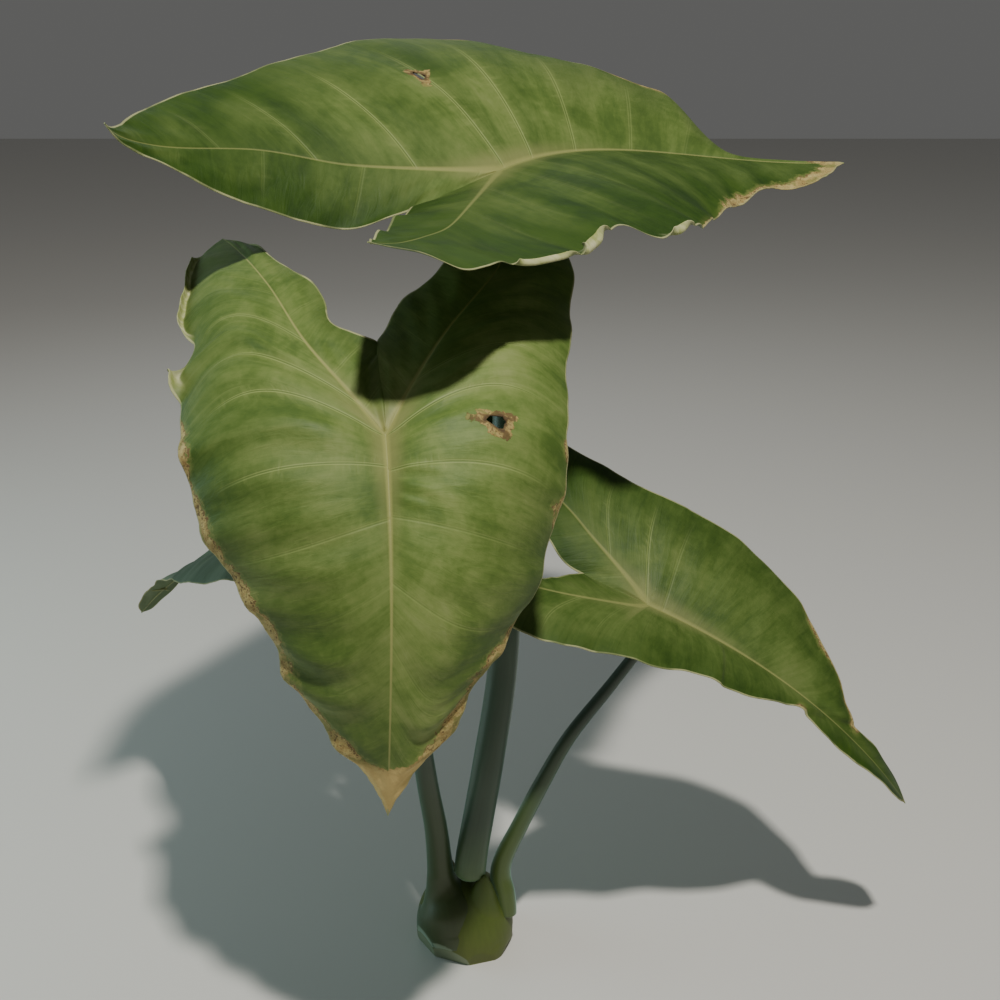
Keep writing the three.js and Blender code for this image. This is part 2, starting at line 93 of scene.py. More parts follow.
class Finish:
    """A material made node by node. Each method adds a node and returns what comes out of it."""

    def __init__(self, name):
        self.material = bpy.data.materials.new(name)
        self.material.use_nodes = True
        self.tree = self.material.node_tree
        self.tree.nodes.clear()

    def node(self, kind, out=0, settings=None, **inputs):
        return Value(self, put_node(self.tree, "ShaderNode" + kind, out, settings, **inputs))

    def place(self):
        return self.node("TexCoord", 3)

    def known(self, name, out=2):
        """What the mesh says of each point under this name, as one number or, with out 1, as three."""
        return self.node("Attribute", out, {"attribute_name": name})

    def math(self, kind, a, b=0.0):
        return self.node("Math", 0, {"operation": kind}, i0=a, i1=b)

    def together(self, x, y, z=0.0):
        """One vector or colour from three values."""
        return self.node("CombineXYZ", X=x, Y=y, Z=z)

    def ramp(self, value, low, high, start=0.0, end=1.0, kind="SMOOTHSTEP"):
        return self.node("MapRange", 0, {"interpolation_type": kind}, Value=value,
                         From_Min=low, From_Max=high, To_Min=start, To_Max=end)

    def noise(self, vector, scale, detail=3.0, roughness=0.55, warp=0.0):
        return self.node("TexNoise", Vector=vector, Scale=scale, Detail=detail, Roughness=roughness,
                         Distortion=warp)

    def shades(self, value, *stops):
        """Colours at stops of the value, smoothly joined."""
        node = self.tree.nodes.new("ShaderNodeValToRGB")
        ends = node.color_ramp.elements
        ends[0].position, ends[0].color = stops[0][0], stops[0][1] + (1,)
        ends[1].position, ends[1].color = stops[-1][0], stops[-1][1] + (1,)
        for spot, shade in stops[1:-1]:
            ends.new(spot).color = shade + (1,)
        self.tree.links.new(value.socket, node.inputs[0])
        return Value(self, node.outputs[0])

    def scaled(self, color, factor):
        return self.node("VectorMath", 0, {"operation": "SCALE"}, i0=color, Scale=factor)

    def blend(self, share, below, above, kind="MIX"):
        above = above + (1,) if isinstance(above, tuple) else above
        return self.node("Mix", 2, {"data_type": "RGBA", "blend_type": kind}, i0=share, i6=below, i7=above)

    def surface(self, **settings):
        """Ends the material in one surface with these settings."""
        skin = self.node("BsdfPrincipled", **settings)
        self.tree.links.new(skin.socket, self.tree.nodes.new("ShaderNodeOutputMaterial").inputs["Surface"])
        return self.material


floor_finish = Finish("pale_floor").surface(Base_Color=(0.62, 0.61, 0.58, 1), Roughness=0.8)
floor_mesh = bpy.data.meshes.new("floor")
floor_mesh.from_pydata([(-9, -9, 0), (9, -9, 0), (9, 9, 0), (-9, 9, 0)], [], [(0, 1, 2, 3)])
floor = bpy.data.objects.new("floor", floor_mesh)
floor.data.materials.append(floor_finish)
bpy.context.collection.objects.link(floor)


def hang_light(name, place, size, power, color):
    light = bpy.data.objects.new(name, bpy.data.lights.new(name, "AREA"))
    light.data.size = size
    light.data.energy = power
    light.data.color = color
    light.location = place
    aim = Vector((0, 0, 0.45)) - Vector(place)
    light.rotation_euler = aim.to_track_quat("-Z", "Y").to_euler()
    bpy.context.collection.objects.link(light)


hang_light("key_light", (0.36, -1.36, 3.33), 0.16, 116, (1.0, 0.97, 0.90))
hang_light("fill_light", (-2.0, 0.3, 0.85), 1.3, 14, (0.60, 0.94, 0.96))
hang_light("back_light", (-0.5, 2.1, 2.0), 1.8, 5, (0.90, 0.96, 1.0))
bpy.context.scene.world = bpy.data.worlds.new("studio")
bpy.context.scene.world.use_nodes = True
sky = bpy.context.scene.world.node_tree.nodes["Background"]
sky.inputs["Color"].default_value = (0.82, 0.82, 0.80, 1)
sky.inputs["Strength"].default_value = 0.14


# Corm. The swollen foot of the plant, pale green and smooth, wrapped by the feet of old leaf sheaths
# and trimmed flat below with a knife, which leaves a few flat facets round its lower edge.
def mesh_piece(name, points, faces, finish):
    """A mesh object from points in millimetres, at the origin."""
    mesh = bpy.data.meshes.new(name)
    faces = faces if isinstance(faces, list) else faces.tolist()
    mesh.from_pydata((np.asarray(points) * 0.001).tolist(), [], faces)
    mesh.materials.append(finish)
    piece = bpy.data.objects.new(name, mesh)
    bpy.context.collection.objects.link(piece)
    return piece


def plain_mesh(piece):
    """Fixes what the modifiers make of a piece in its mesh and drops the modifiers."""
    seen = piece.evaluated_get(bpy.context.evaluated_depsgraph_get())
    mesh = bpy.data.meshes.new_from_object(seen)
    piece.modifiers.clear()
    piece.data = mesh
    return piece


def moved_points(piece, move):
    """Sends the points of a mesh, in metres, through a function."""
    points = np.empty(len(piece.data.vertices) * 3)
    piece.data.vertices.foreach_get("co", points)
    piece.data.vertices.foreach_set("co", move(points.reshape(-1, 3)).ravel())
    piece.data.update()


def unit(vectors):
    return vectors / np.maximum(np.linalg.norm(vectors, axis=-1, keepdims=True), 1e-9)


def note(mesh, name, values, kind="FLOAT", field="value"):
    """Notes something about each point of a mesh, for its finish to read."""
    mesh.attributes.new(name, kind, "POINT").data.foreach_set(field, values)


def smooth_shade(piece):
    piece.data.polygons.foreach_set("use_smooth", [True] * len(piece.data.polygons))


def path_through(points, places, open_ends=True):
    """Smooth curve through points, read at places counted in points from the first."""
    points = np.asarray(points, float)
    if open_ends:
        first, last = 2 * points[0] - points[1], 2 * points[-1] - points[-2]
    else:
        first, last = points[0], points[-1]
    ends = np.vstack([[first], points, [last]])
    index = np.clip(np.floor(places).astype(int), 0, len(points) - 2)
    w = (places - index)[..., None]
    a, b, c, d = ends[index], ends[index + 1], ends[index + 2], ends[index + 3]
    pull_b, pull_c = (c - a) / 2, (d - b) / 2
    return ((2 * b - 2 * c + pull_b + pull_c) * w ** 3 + (-3 * b + 3 * c - 2 * pull_b - pull_c) * w ** 2
            + pull_b * w + b)


def lofted(rings):
    """Points and faces of a closed body through rings of equal count, ending in fans."""
    count, sides = rings.shape[:2]
    points = np.vstack([rings.reshape(-1, 3), rings[0].mean(0), rings[-1].mean(0)])
    faces = []
    for i in range(count - 1):
        for k in range(sides):
            n = (k + 1) % sides
            faces.append((i * sides + k, i * sides + n, (i + 1) * sides + n, (i + 1) * sides + k))
    low, high = count * sides, count * sides + 1
    top = (count - 1) * sides
    for k in range(sides):
        n = (k + 1) % sides
        faces.append((low, n, k))
        faces.append((high, top + k, top + n))
    return points, faces


def stalk_rings(sections, steps, sides):
    """Rings round the smooth line through sections of centre and radius, in millimetres."""
    places = np.linspace(0, len(sections) - 1, steps)
    line = path_through(sections, places)
    centre, radius = line[:, :3], line[:, 3]
    along = unit(np.gradient(centre, axis=0))
    across = unit(np.cross((0, 1, 0), along))
    third = np.cross(along, across)
    angle = np.linspace(0, 2 * np.pi, sides, endpoint=False)
    ring = (np.cos(angle)[None, :, None] * across[:, None] + np.sin(angle)[None, :, None] * third[:, None])
    return centre[:, None] + ring * radius[:, None, None]


CORM_PROFILE = [(0, 51.4), (4, 51.9), (12, 52.2), (26, 52.4), (42, 49.5), (56, 43.5), (68, 34), (78, 22),
                (84, 9)]
CORM_SHEATHS = [
    [(10, -9, 6, 38), (13.5, -12, 20, 36.5), (17, -15, 40, 28), (19, -20, 64, 17.5), (20.5, -25, 84, 10),
     (21, -28, 99, 3)],
    [(-6, 14, 14, 36), (-12, 19, 36, 28), (-20, 25, 58, 18), (-26, 29, 76, 12), (-29, 31, 84, 10)],
]
CORM_SIDES = 72
CORM_LAYERS = 40
FLAT_BELOW = 0.0012  # what the remesh leaves lower than this, in metres, is the flat cut underneath
# Knife cuts round the lower edge: direction in degrees, reach at the floor in millimetres, slope outwards.
KNIFE_CUTS = [(-148, 44.2, 0.35), (-112, 42.3, 0.5), (-72, 47.5, 0.3), (-20, 48.6, 0.3), (24, 46.5, 0.4),
              (70, 44.5, 0.4), (115, 45, 0.4), (158, 45.5, 0.35)]
PALE_CUTS = KNIFE_CUTS[:2]


def laid_flat(points):
    points[:, 2] = np.where(points[:, 2] < FLAT_BELOW, 0, points[:, 2])
    return points


def knife_trimmed(points, spare=0.0):
    """Pushes points outside the knife cuts back onto them, or a spare width inside them."""
    for direction, reach, slope in KNIFE_CUTS:
        turn = math.radians(direction)
        across = points[:, 0] * math.cos(turn) + points[:, 1] * math.sin(turn)
        limit = (reach - spare) * 0.001 + slope * points[:, 2]
        points[:, :2] *= np.where(across > limit, limit / np.maximum(across, 0.001), 1)[:, None]
    return points


def with_cut_flesh(finish, skin, spare=0.0):
    """The skin's colour, with the pale flesh bared on the fresh cuts on the left and in front."""
    bare = 0.0
    for direction, reach, slope in PALE_CUTS:
        turn = math.radians(direction)
        depth = finish.node("VectorMath", 1, {"operation": "DOT_PRODUCT"}, i0=finish.place(),
                            i1=(math.cos(turn), math.sin(turn), -slope))
        limit = (reach - spare) * 0.001
        cut = finish.ramp(depth, limit - 0.0007, limit - 0.0002, 0.0, 0.85, "LINEAR")
        bare = finish.math("MAXIMUM", bare, cut)
    return finish.blend(bare, skin, (0.230, 0.280, 0.180))


rind = Finish("corm_rind")
height = rind.node("SeparateXYZ", 2, Vector=rind.place())
fibre = rind.noise(rind.node("Mapping", Vector=rind.place(), Scale=(60, 60, 7)), 4.0, 3.0, 0.5)
cloud = rind.noise(rind.place(), 26.0, 3.0, 0.5)
tone = cloud * 0.4 + rind.ramp(height, 0.0, 0.085, kind="LINEAR")
skin = rind.shades(tone, (0.2, (0.105, 0.128, 0.026)), (0.6, (0.088, 0.120, 0.020)),
                   (1.0, (0.062, 0.094, 0.016)))
skin = rind.scaled(skin, rind.ramp(fibre, 0.3, 0.7, 0.93, 1.05, "LINEAR"))
corm_finish = rind.surface(Base_Color=with_cut_flesh(rind, skin), Roughness=0.52, Specular_IOR_Level=0.35,
                           Normal=rind.node("Bump", Strength=0.12, Distance=0.0006, Height=fibre))

turns = np.linspace(0, 2 * np.pi, CORM_SIDES, endpoint=False)
layers = np.linspace(0, len(CORM_PROFILE) - 1, CORM_LAYERS)
profile = path_through(CORM_PROFILE, layers)
rings = []
for z, radius in profile:
    rings.append(np.stack([radius * np.cos(turns), radius * np.sin(turns), np.full_like(turns, z)], -1))
body_points, body_faces = lofted(np.array(rings))
corm = mesh_piece("corm_flesh", body_points, body_faces, corm_finish)
sheath_pieces = []
for number, sections in enumerate(CORM_SHEATHS):
    sheath_points, sheath_faces = lofted(stalk_rings(sections, steps=30, sides=48))
    sheath_pieces.append(mesh_piece(f"corm_sheath_{number}", sheath_points, sheath_faces, corm_finish))
with bpy.context.temp_override(active_object=corm, selected_editable_objects=[corm] + sheath_pieces):
    bpy.ops.object.join()
remesh = corm.modifiers.new("grown_together", "REMESH")
remesh.mode = "VOXEL"
remesh.voxel_size = 0.0013
relax = corm.modifiers.new("soft_edges", "SMOOTH")
relax.factor = 0.6
relax.iterations = 4
corm = plain_mesh(corm)
moved_points(corm, laid_flat)
moved_points(corm, knife_trimmed)
smooth_shade(corm)
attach(corm, "root")
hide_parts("corm")


# Petioles. Round, spongy leaf stalks with a waxy dark green skin and fine lengthwise ribs. Each grows
# from the corm, the front one with a broad foot round it, and tapers up to its blade.
PETIOLES = {
    "front": [(-10.6, -12.4, 5, 38), (-11, -12.5, 14.5, 38.8), (-11.8, -12.6, 26, 39.8),
              (-13.5, -13, 38, 38.5), (-15.6, -14.2, 54, 33.6), (-21, -13, 72, 22), (-24.5, -14, 88, 15.6),
              (-25.5, -16, 106, 13.6), (-28.4, -26, 157, 12), (-36, -44, 227, 10.8), (-45, -82, 350, 9.6),
              (-52, -136, 490, 8.6), (-54.6, -180, 596, 8), (-54.2, -197, 637, 8)],
    "top": [(6.4, -17.4, 88, 13), (6.7, -17.3, 96, 16.2), (7.3, -16.9, 106, 16.8), (9, -15.6, 121, 16.7),
            (13.4, -12.8, 147, 16.4), (19.4, -9.4, 182, 16.2), (27, -5, 228, 16), (40, 10, 314, 15.4),
            (45, 24, 400, 14.4), (44, 72, 560, 13), (40, 122, 720, 11.4), (38, 137, 808, 10.6)],
    "right": [(46.5, -14, 40, 9.8), (46, -13, 50, 10.3), (43.6, -10, 66, 10.8), (39, -5, 84, 11.2),
              (43, -3, 106, 10), (58.7, 0, 141, 9), (84, 5, 194, 8.4), (112, 8, 247, 7.2),
              (156, 12, 308, 6.2), (183, 14, 350, 6), (190, 15, 390, 6)],
    "back": [(-24, 24, 40, 7.5), (-28, 29, 62, 8.8), (-31, 32, 110, 8.8), (-41.4, 45, 173, 8.4),
             (-54.9, 60, 276, 8), (-84, 88, 360, 7.4), (-130, 118, 408, 7), (-178, 130, 421, 7)],
}
# Painted light: each stalk's green is scaled. The front stalk is darkened as painted shade and the top stalk
# is lightened as a painted lit side.
STALK_PAINTED_LIGHT = {"front": 0.6, "top": 1.8, "right": 1.0, "back": 1.0}  # the front stalk is the darkest
FOOT_ROUNDING = {"front": 2.5, "top": 10, "right": 2.5, "back": 10}
STALK_STEPS = 156
TIP_STEPS = 14  # close rings that round the top end off below the blade
STALK_SIDES = 40
STALK_RIBS = 18

waxy = Finish("stalk_skin")
height = waxy.node("SeparateXYZ", 2, Vector=waxy.place())
wrap = waxy.together(waxy.known("along"), waxy.known("around"))
rib = waxy.noise(waxy.node("Mapping", Vector=wrap, Scale=(7, 12, 1)), 3.0)
cloud = waxy.noise(waxy.place(), 14.0, 3.0, 0.5)
# Painted light: each stalk's listed factor shifts and scales its green, darker for painted shade and lighter
# for a painted lit side.
tint = waxy.known("tint")
tone = cloud * 0.25 + waxy.ramp(height, 0.02, 0.30, kind="LINEAR") + (tint - 1.0) * 0.45
skin = waxy.shades(tone, (0.15, (0.068, 0.100, 0.018)), (0.5, (0.056, 0.088, 0.018)),
                   (0.8, (0.042, 0.074, 0.030)), (1.0, (0.022, 0.040, 0.022)))
skin = waxy.scaled(waxy.scaled(skin, waxy.ramp(rib, 0.3, 0.7, 0.9, 1.07, "LINEAR")), tint)
stalk_finish = waxy.surface(Base_Color=with_cut_flesh(waxy, skin, spare=0.4), Roughness=0.4,
                            Specular_IOR_Level=0.55,
                            Normal=waxy.node("Bump", Strength=0.14, Distance=0.0006, Height=rib),
                            Sheen_Weight=0.3, Sheen_Roughness=0.45, Sheen_Tint=(0.5, 0.95, 0.85, 1))


def stalk_grower():
    """A node tree that skins a centre line with a round, faintly ribbed stalk of the line's own thickness."""
    tree = bpy.data.node_groups.new("stalk_grower", "GeometryNodeTree")
    wanted = {"Geometry": "Geometry", "Sides": "Int", "Rib Height": "Float", "Rib Count": "Float",
              "Finish": "Material"}
    for name, kind in wanted.items():
        tree.interface.new_socket(name, in_out="INPUT", socket_type="NodeSocket" + kind)
    tree.interface.new_socket("Geometry", in_out="OUTPUT", socket_type="NodeSocketGeometry")
    given = tree.nodes.new("NodeGroupInput").outputs

    def grow(kind, out=0, settings=None, **inputs):
        return put_node(tree, "GeometryNode" + kind, out, settings, **inputs)

    def math_of(kind, a, b=0.0):
        return put_node(tree, "ShaderNodeMath", 0, {"operation": kind}, i0=a, i1=b)

    def noted(curve, name, out):
        """Notes on each point of a curve how far along it lies."""
        return grow("StoreNamedAttribute", 0, {"data_type": "FLOAT", "domain": "POINT"}, Geometry=curve,
                    Name=name, Value=grow("SplineParameter", out))

    def read(name):
        return grow("InputNamedAttribute", 0, {"data_type": "FLOAT"}, Name=name)

    line = noted(grow("MeshToCurve", Mesh=given["Geometry"]), "along", 1)
    ring = noted(grow("CurvePrimitiveCircle", Resolution=given["Sides"], Radius=1.0), "around", 0)
    skin = grow("CurveToMesh", Curve=line, Profile_Curve=ring, Scale=read("thick"), Fill_Caps=True)
    wave = math_of("SINE", math_of("MULTIPLY", read("around"), given["Rib Count"]))
    push = put_node(tree, "ShaderNodeVectorMath", 0, {"operation": "SCALE"}, i0=grow("InputNormal"),
                    Scale=math_of("MULTIPLY", wave, given["Rib Height"]))
    skin = grow("RealizeInstances", Geometry=grow("SetPosition", Geometry=skin, Offset=push))
    skin = grow("SetMaterial", Geometry=grow("SetShadeSmooth", Geometry=skin), Material=given["Finish"])
    tree.links.new(skin, tree.nodes.new("NodeGroupOutput").inputs[0])
    return tree


def grow_stalks(name, lines, grower, sides, rib_height, rib_count, finish):
    """Skins lines of points and thickness, in millimetres, and returns one plain mesh piece."""
    points = np.vstack([line[:, :3] for line in lines]) * 0.001
    edges = []
    first = 0
    for line in lines:
        edges += [(first + i, first + i + 1) for i in range(len(line) - 1)]
        first += len(line)
    mesh = bpy.data.meshes.new(name)
    mesh.from_pydata(points.tolist(), edges, [])
    note(mesh, "thick", np.concatenate([line[:, 3] for line in lines]) * 0.001)
    piece = bpy.data.objects.new(name, mesh)
    bpy.context.collection.objects.link(piece)
    growth = piece.modifiers.new("growth", "NODES")
    growth.node_group = grower
    values = {"Sides": sides, "Rib Height": rib_height, "Rib Count": rib_count, "Finish": finish}
    for item in grower.interface.items_tree:
        if item.in_out == "INPUT" and item.name in values:
            growth[item.identifier] = values[item.name]
    return plain_mesh(piece)


def rounded_end(gap, reach, least, share=1.0):
    """How much of its thickness a stalk has at a gap from its end, so that the end is round."""
    return np.sqrt(np.clip(1 - share * (1 - np.minimum(gap / reach, 1)) ** 2, least, 1))


stalk_tree = stalk_grower()
for name, sections in PETIOLES.items():
    last = len(sections) - 1
    line = path_through(sections, np.concatenate([np.linspace(0, last - 0.16, STALK_STEPS),
                                                  last - 0.15 * np.linspace(1, 0, TIP_STEPS) ** 1.5]))
    from_top = np.linalg.norm(line[:, :3] - line[-1, :3], axis=1)
    from_foot = np.linalg.norm(line[:, :3] - line[0, :3], axis=1)
    line[:, 3] *= 1 + 0.1 * np.exp(-(from_top / 16) ** 2)  # it swells a little where the blade joins
    line[:, 3] *= rounded_end(from_top, line[-1, 3], 0.02)
    line[:, 3] *= rounded_end(from_foot, FOOT_ROUNDING[name], 0.03, 0.97)
    petiole = grow_stalks(f"petiole_{name}_skin", [line], stalk_tree, STALK_SIDES, 0.0001,
                          STALK_RIBS * 2 * math.pi, stalk_finish)
    note(petiole.data, "tint", [STALK_PAINTED_LIGHT[name]] * len(petiole.data.vertices))
    if name == "front":
        moved_points(petiole, lambda points: knife_trimmed(points, spare=0.4))
    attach(petiole, "root")
    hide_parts(f"petiole_{name}")


# Blades. Thin arrow-shaped leaves, folded along a pale midrib and two lobe veins, with side veins that
# run to a thin cream edge. The tissue pillows between the veins, and the edge is waved and dry in places.
BLADE_LENGTH = 360  # junction to tip of a blade of size 1, in millimetres
CREASE_SOFTNESS = 15  # half width of the round of the midrib's fold
FORWARD_VEINS = 6.5  # places of side veins from the junction to the tip
LOBE_VEINS = 4.75  # and back to a lobe's end
VEIN_CROWDING = 1.35  # how much closer the side veins leave near the junction
FIRST_LATERAL_END = -25  # where a vein from the junction meets the margin, along the midrib
SINUS_SHARE = 2 / 15  # share of a lobe's rows that end where the two lobes are still joined
PILLOW_HEIGHT = 3.2  # of a blade that pillows fully
RUFFLE_HEIGHT = 4.5
RUFFLE_VEINS = 1.3  # side veins to one wave of the margin
TIP_TWIST_START = 0.55  # these three are shares of the blade's length
TIP_DROP_START = 0.58
TIP_DROP_END = 0.79
LOBE_ROWS = 112
TIP_ROWS = 162
NEAR_AXIS = np.array([0, 0.8, 1.7, 2.8, 4.2, 6, 8.5, 12])  # close columns beside the midrib, in millimetres
NEAR_MARGIN = np.array([24, 19, 15, 12, 10, 8.4, 7, 5.7, 4.5, 3.4, 2.3, 1.3, 0.6, 0])  # and inside the margin
FULL_REACH = 62  # rows shorter than this have their close columns drawn together
MIDDLE_COLUMNS = 38
INNER_MIDDLE_COLUMNS = 12
MIDRIB = (4.8, 100)  # width at the junction and how soon it narrows, in millimetres
LOBE_RIB = (3.6, 80)
LEAST_RIB = 0.9
RAISED_VEIN = 0.09  # side veins that show more plainly than this stand out below the blade
VEIN_SIDES = 10
VEIN_ROOF = 0.8  # how far above the lower face the top of a vein's round lies, in millimetres

# Flat outlines in millimetres, along the midrib from the junction and across it. outer is the margin from a
# lobe's end to the tip, inner the edge from the sinus back to the lobe's end, and costa the lobe's vein.
FRONT_OUTLINE = {
    "tip": (366, 0), "sinus": (-94, 0),
    "left": {
        "lobe": (-340, -150),
        "outer": [(-333, -172), (-300, -184), (-240, -190), (-179, -190), (-137, -176), (-98, -193),
                  (-24, -189), (39, -183), (105, -167), (171, -127), (262, -90), (318, -30)],
        "inner": [(-104, -1.5), (-114, -24), (-130, -43), (-168, -48), (-216, -77), (-280, -112)],
        "costa": [(-31, -25), (-97, -66), (-190, -98), (-288, -132)],
    },
    "right": {
        "lobe": (-318, 150),
        "outer": [(-310, 177), (-286, 197), (-247, 207), (-186, 200), (-109, 188), (-57, 180), (-3, 177),
                  (52, 171), (112, 158), (178, 136), (233, 88), (288, 60), (322, 25)],
        "inner": [(-106, 1.5), (-150, 25), (-197, 64), (-262, 106)],
        "costa": [(-31, 20), (-93, 58), (-187, 116), (-256, 138)],
    },
}
TOP_OUTLINE = {
    "tip": (352, 0), "sinus": (-100, 0),
    "left": {
        "lobe": (-325, -133),
        "outer": [(-312, -156), (-286, -176), (-250, -184), (-193, -179), (-135, -191), (-87, -180),
                  (-45, -169), (-25, -198), (15, -202), (80, -182), (150, -147), (222, -105), (275, -66),
                  (310, -54), (338, -38)],
        "inner": [(-118, -9), (-150, -29), (-190, -54), (-230, -77), (-280, -106)],
        "costa": [(-72, -41), (-150, -82), (-203, -98), (-270, -118)],
    },
    "right": {
        "lobe": (-406, 134),
        "outer": [(-340, 146), (-234, 179), (-136, 188), (-65, 196), (5, 206), (75, 214), (127, 196),
                  (163, 162), (199, 131), (237, 95), (287, 56), (325, 26)],
        "inner": [(-124, 1), (-140, 3), (-156, 9), (-180, 26), (-230, 63), (-304, 110)],
        "costa": [(-54, 24), (-123, 60), (-198, 106), (-300, 128)],
    },
}
RIGHT_OUTLINE = {
    "tip": (349.5, 0), "sinus": (-76, 0),
    "left": {
        "lobe": (-262, -118),
        "outer": [(-225, -140), (-170, -146), (-117, -138), (-76, -132), (-20, -113), (12, -106), (53, -82),
                  (89, -72), (130, -55), (160, -36), (180, -24), (197, -26), (216, -31), (240, -32),
                  (264, -28), (304, -21), (333, -13)],
        "inner": [(-88, -20), (-104, -40), (-124, -62), (-190, -88)],
        "costa": [(-19, -22), (-69, -53), (-117, -75), (-190, -100)],
    },
    "right": {
        "lobe": (-290, 110),
        "outer": [(-270, 128), (-215, 138), (-150, 137), (-104, 135), (-43, 132), (17, 133), (68, 133),
                  (139, 112), (187, 76), (222, 46), (238, 29), (248, 19), (262, 19), (286, 24), (318, 28),
                  (338, 22)],
        "inner": [(-96, 2), (-120, 15), (-160, 46), (-220, 80)],
        "costa": [(-34, 19), (-83, 42), (-121, 60), (-200, 88)],
    },
}
BACK_OUTLINE = {
    "tip": (350, 0), "sinus": (-48, 0),
    "left": {
        "lobe": (-236, -112),
        "outer": [(-220, -138), (-170, -156), (-100, -168), (-30, -168), (50, -156), (130, -118), (200, -66),
                  (262, -32), (310, -18), (338, -12)],
        "inner": [(-86, -4), (-112, -30), (-150, -58), (-200, -90)],
        "costa": [(-40, -28), (-100, -62), (-160, -92), (-200, -105)],
    },
    "right": {
        "lobe": (-244, 108),
        "outer": [(-226, 136), (-175, 156), (-100, 170), (-30, 171), (50, 157), (130, 120), (200, 68),
                  (262, 32), (310, 18), (338, 12)],
        "inner": [(-86, 4), (-114, 30), (-152, 58), (-204, 90)],
        "costa": [(-40, 28), (-100, 62), (-160, 90), (-205, 103)],
    },
}
# Each blade is drawn flat and bent to its place. Angles are in degrees: heading, climb and roll turn all of
# it; droop and the lobes' rise have a first rate and what is added further out; twist is the whole blade's
# and the tip's own; fold and arch, down the midrib and across, list the value at the junction, what the tip
# and the lobes add, and the same three for what the right half has more than the left. sweep swings the
# tip sideways, and right_tip_drop hangs the right half of the tip lower.
# puff is how fully the tissue pillows, ruffle how far the margin waves and ruffle_phase where its waves
# start. sinus_fill raises the tissue behind the junction, in millimetres.
# Places along a blade are counted in side veins from the junction, forwards to the tip and backwards
# into the lobes. veins lists where each side vein leaves and how plainly it shows, bow how far the
# veins swing on their way out, and curls the lips that roll up: first and last place, width and turn.
# dry lists how far in the margin has died back at each distance along the midrib, in millimetres.
# pleats are small steps in the sheet: both ends, width and height. hole is the place and half sizes of
# an eaten hole. deep is how much darker the green is: in each half and more in its lobe,
# at the tip, and in turn between the side veins. It is partly the leaf's own deeper green and partly painted
# shade, as on the top leaf's near half and on the right leaf's lobe and tail. painted_blue_sheen is a painted
# blue reflection and painted shade on the back leaf. What a leaf doesn't list is as in PLAIN_LEAF.
FULL_VEINS = [(-4.4, 0.1), (-3.4, 0.2), (-2.4, 0.3), (-1.5, 0.6), (-0.6, 0.9), (0.1, 1), (1.05, 0.9),
              (2.05, 0.65), (3.05, 0.4), (3.95, 0.25), (4.75, 0.12), (5.5, 0.1)]
FAINT_VEINS = [(-4.4, 0.05), (-3.4, 0.08), (-2.4, 0.12), (-1.5, 0.3), (-0.6, 0.4), (0.3, 0.4), (1.2, 0.3),
               (2.1, 0.15), (3.05, 0.1), (3.95, 0.06), (4.75, 0.05), (5.5, 0.05)]
GENTLE_BOW = [(-4.75, 0), (-1.5, -0.2), (0, -0.15), (2, 0.05), (4, 0.15), (6.5, 0)]
PLAIN_LEAF = {
    "right_tip_drop": 0, "sinus_fill": 0, "painted_blue_sheen": 0, "hole": None, "pleats": [],
    "curls": {"left": [], "right": []}, "bow": {"left": GENTLE_BOW, "right": GENTLE_BOW},
}
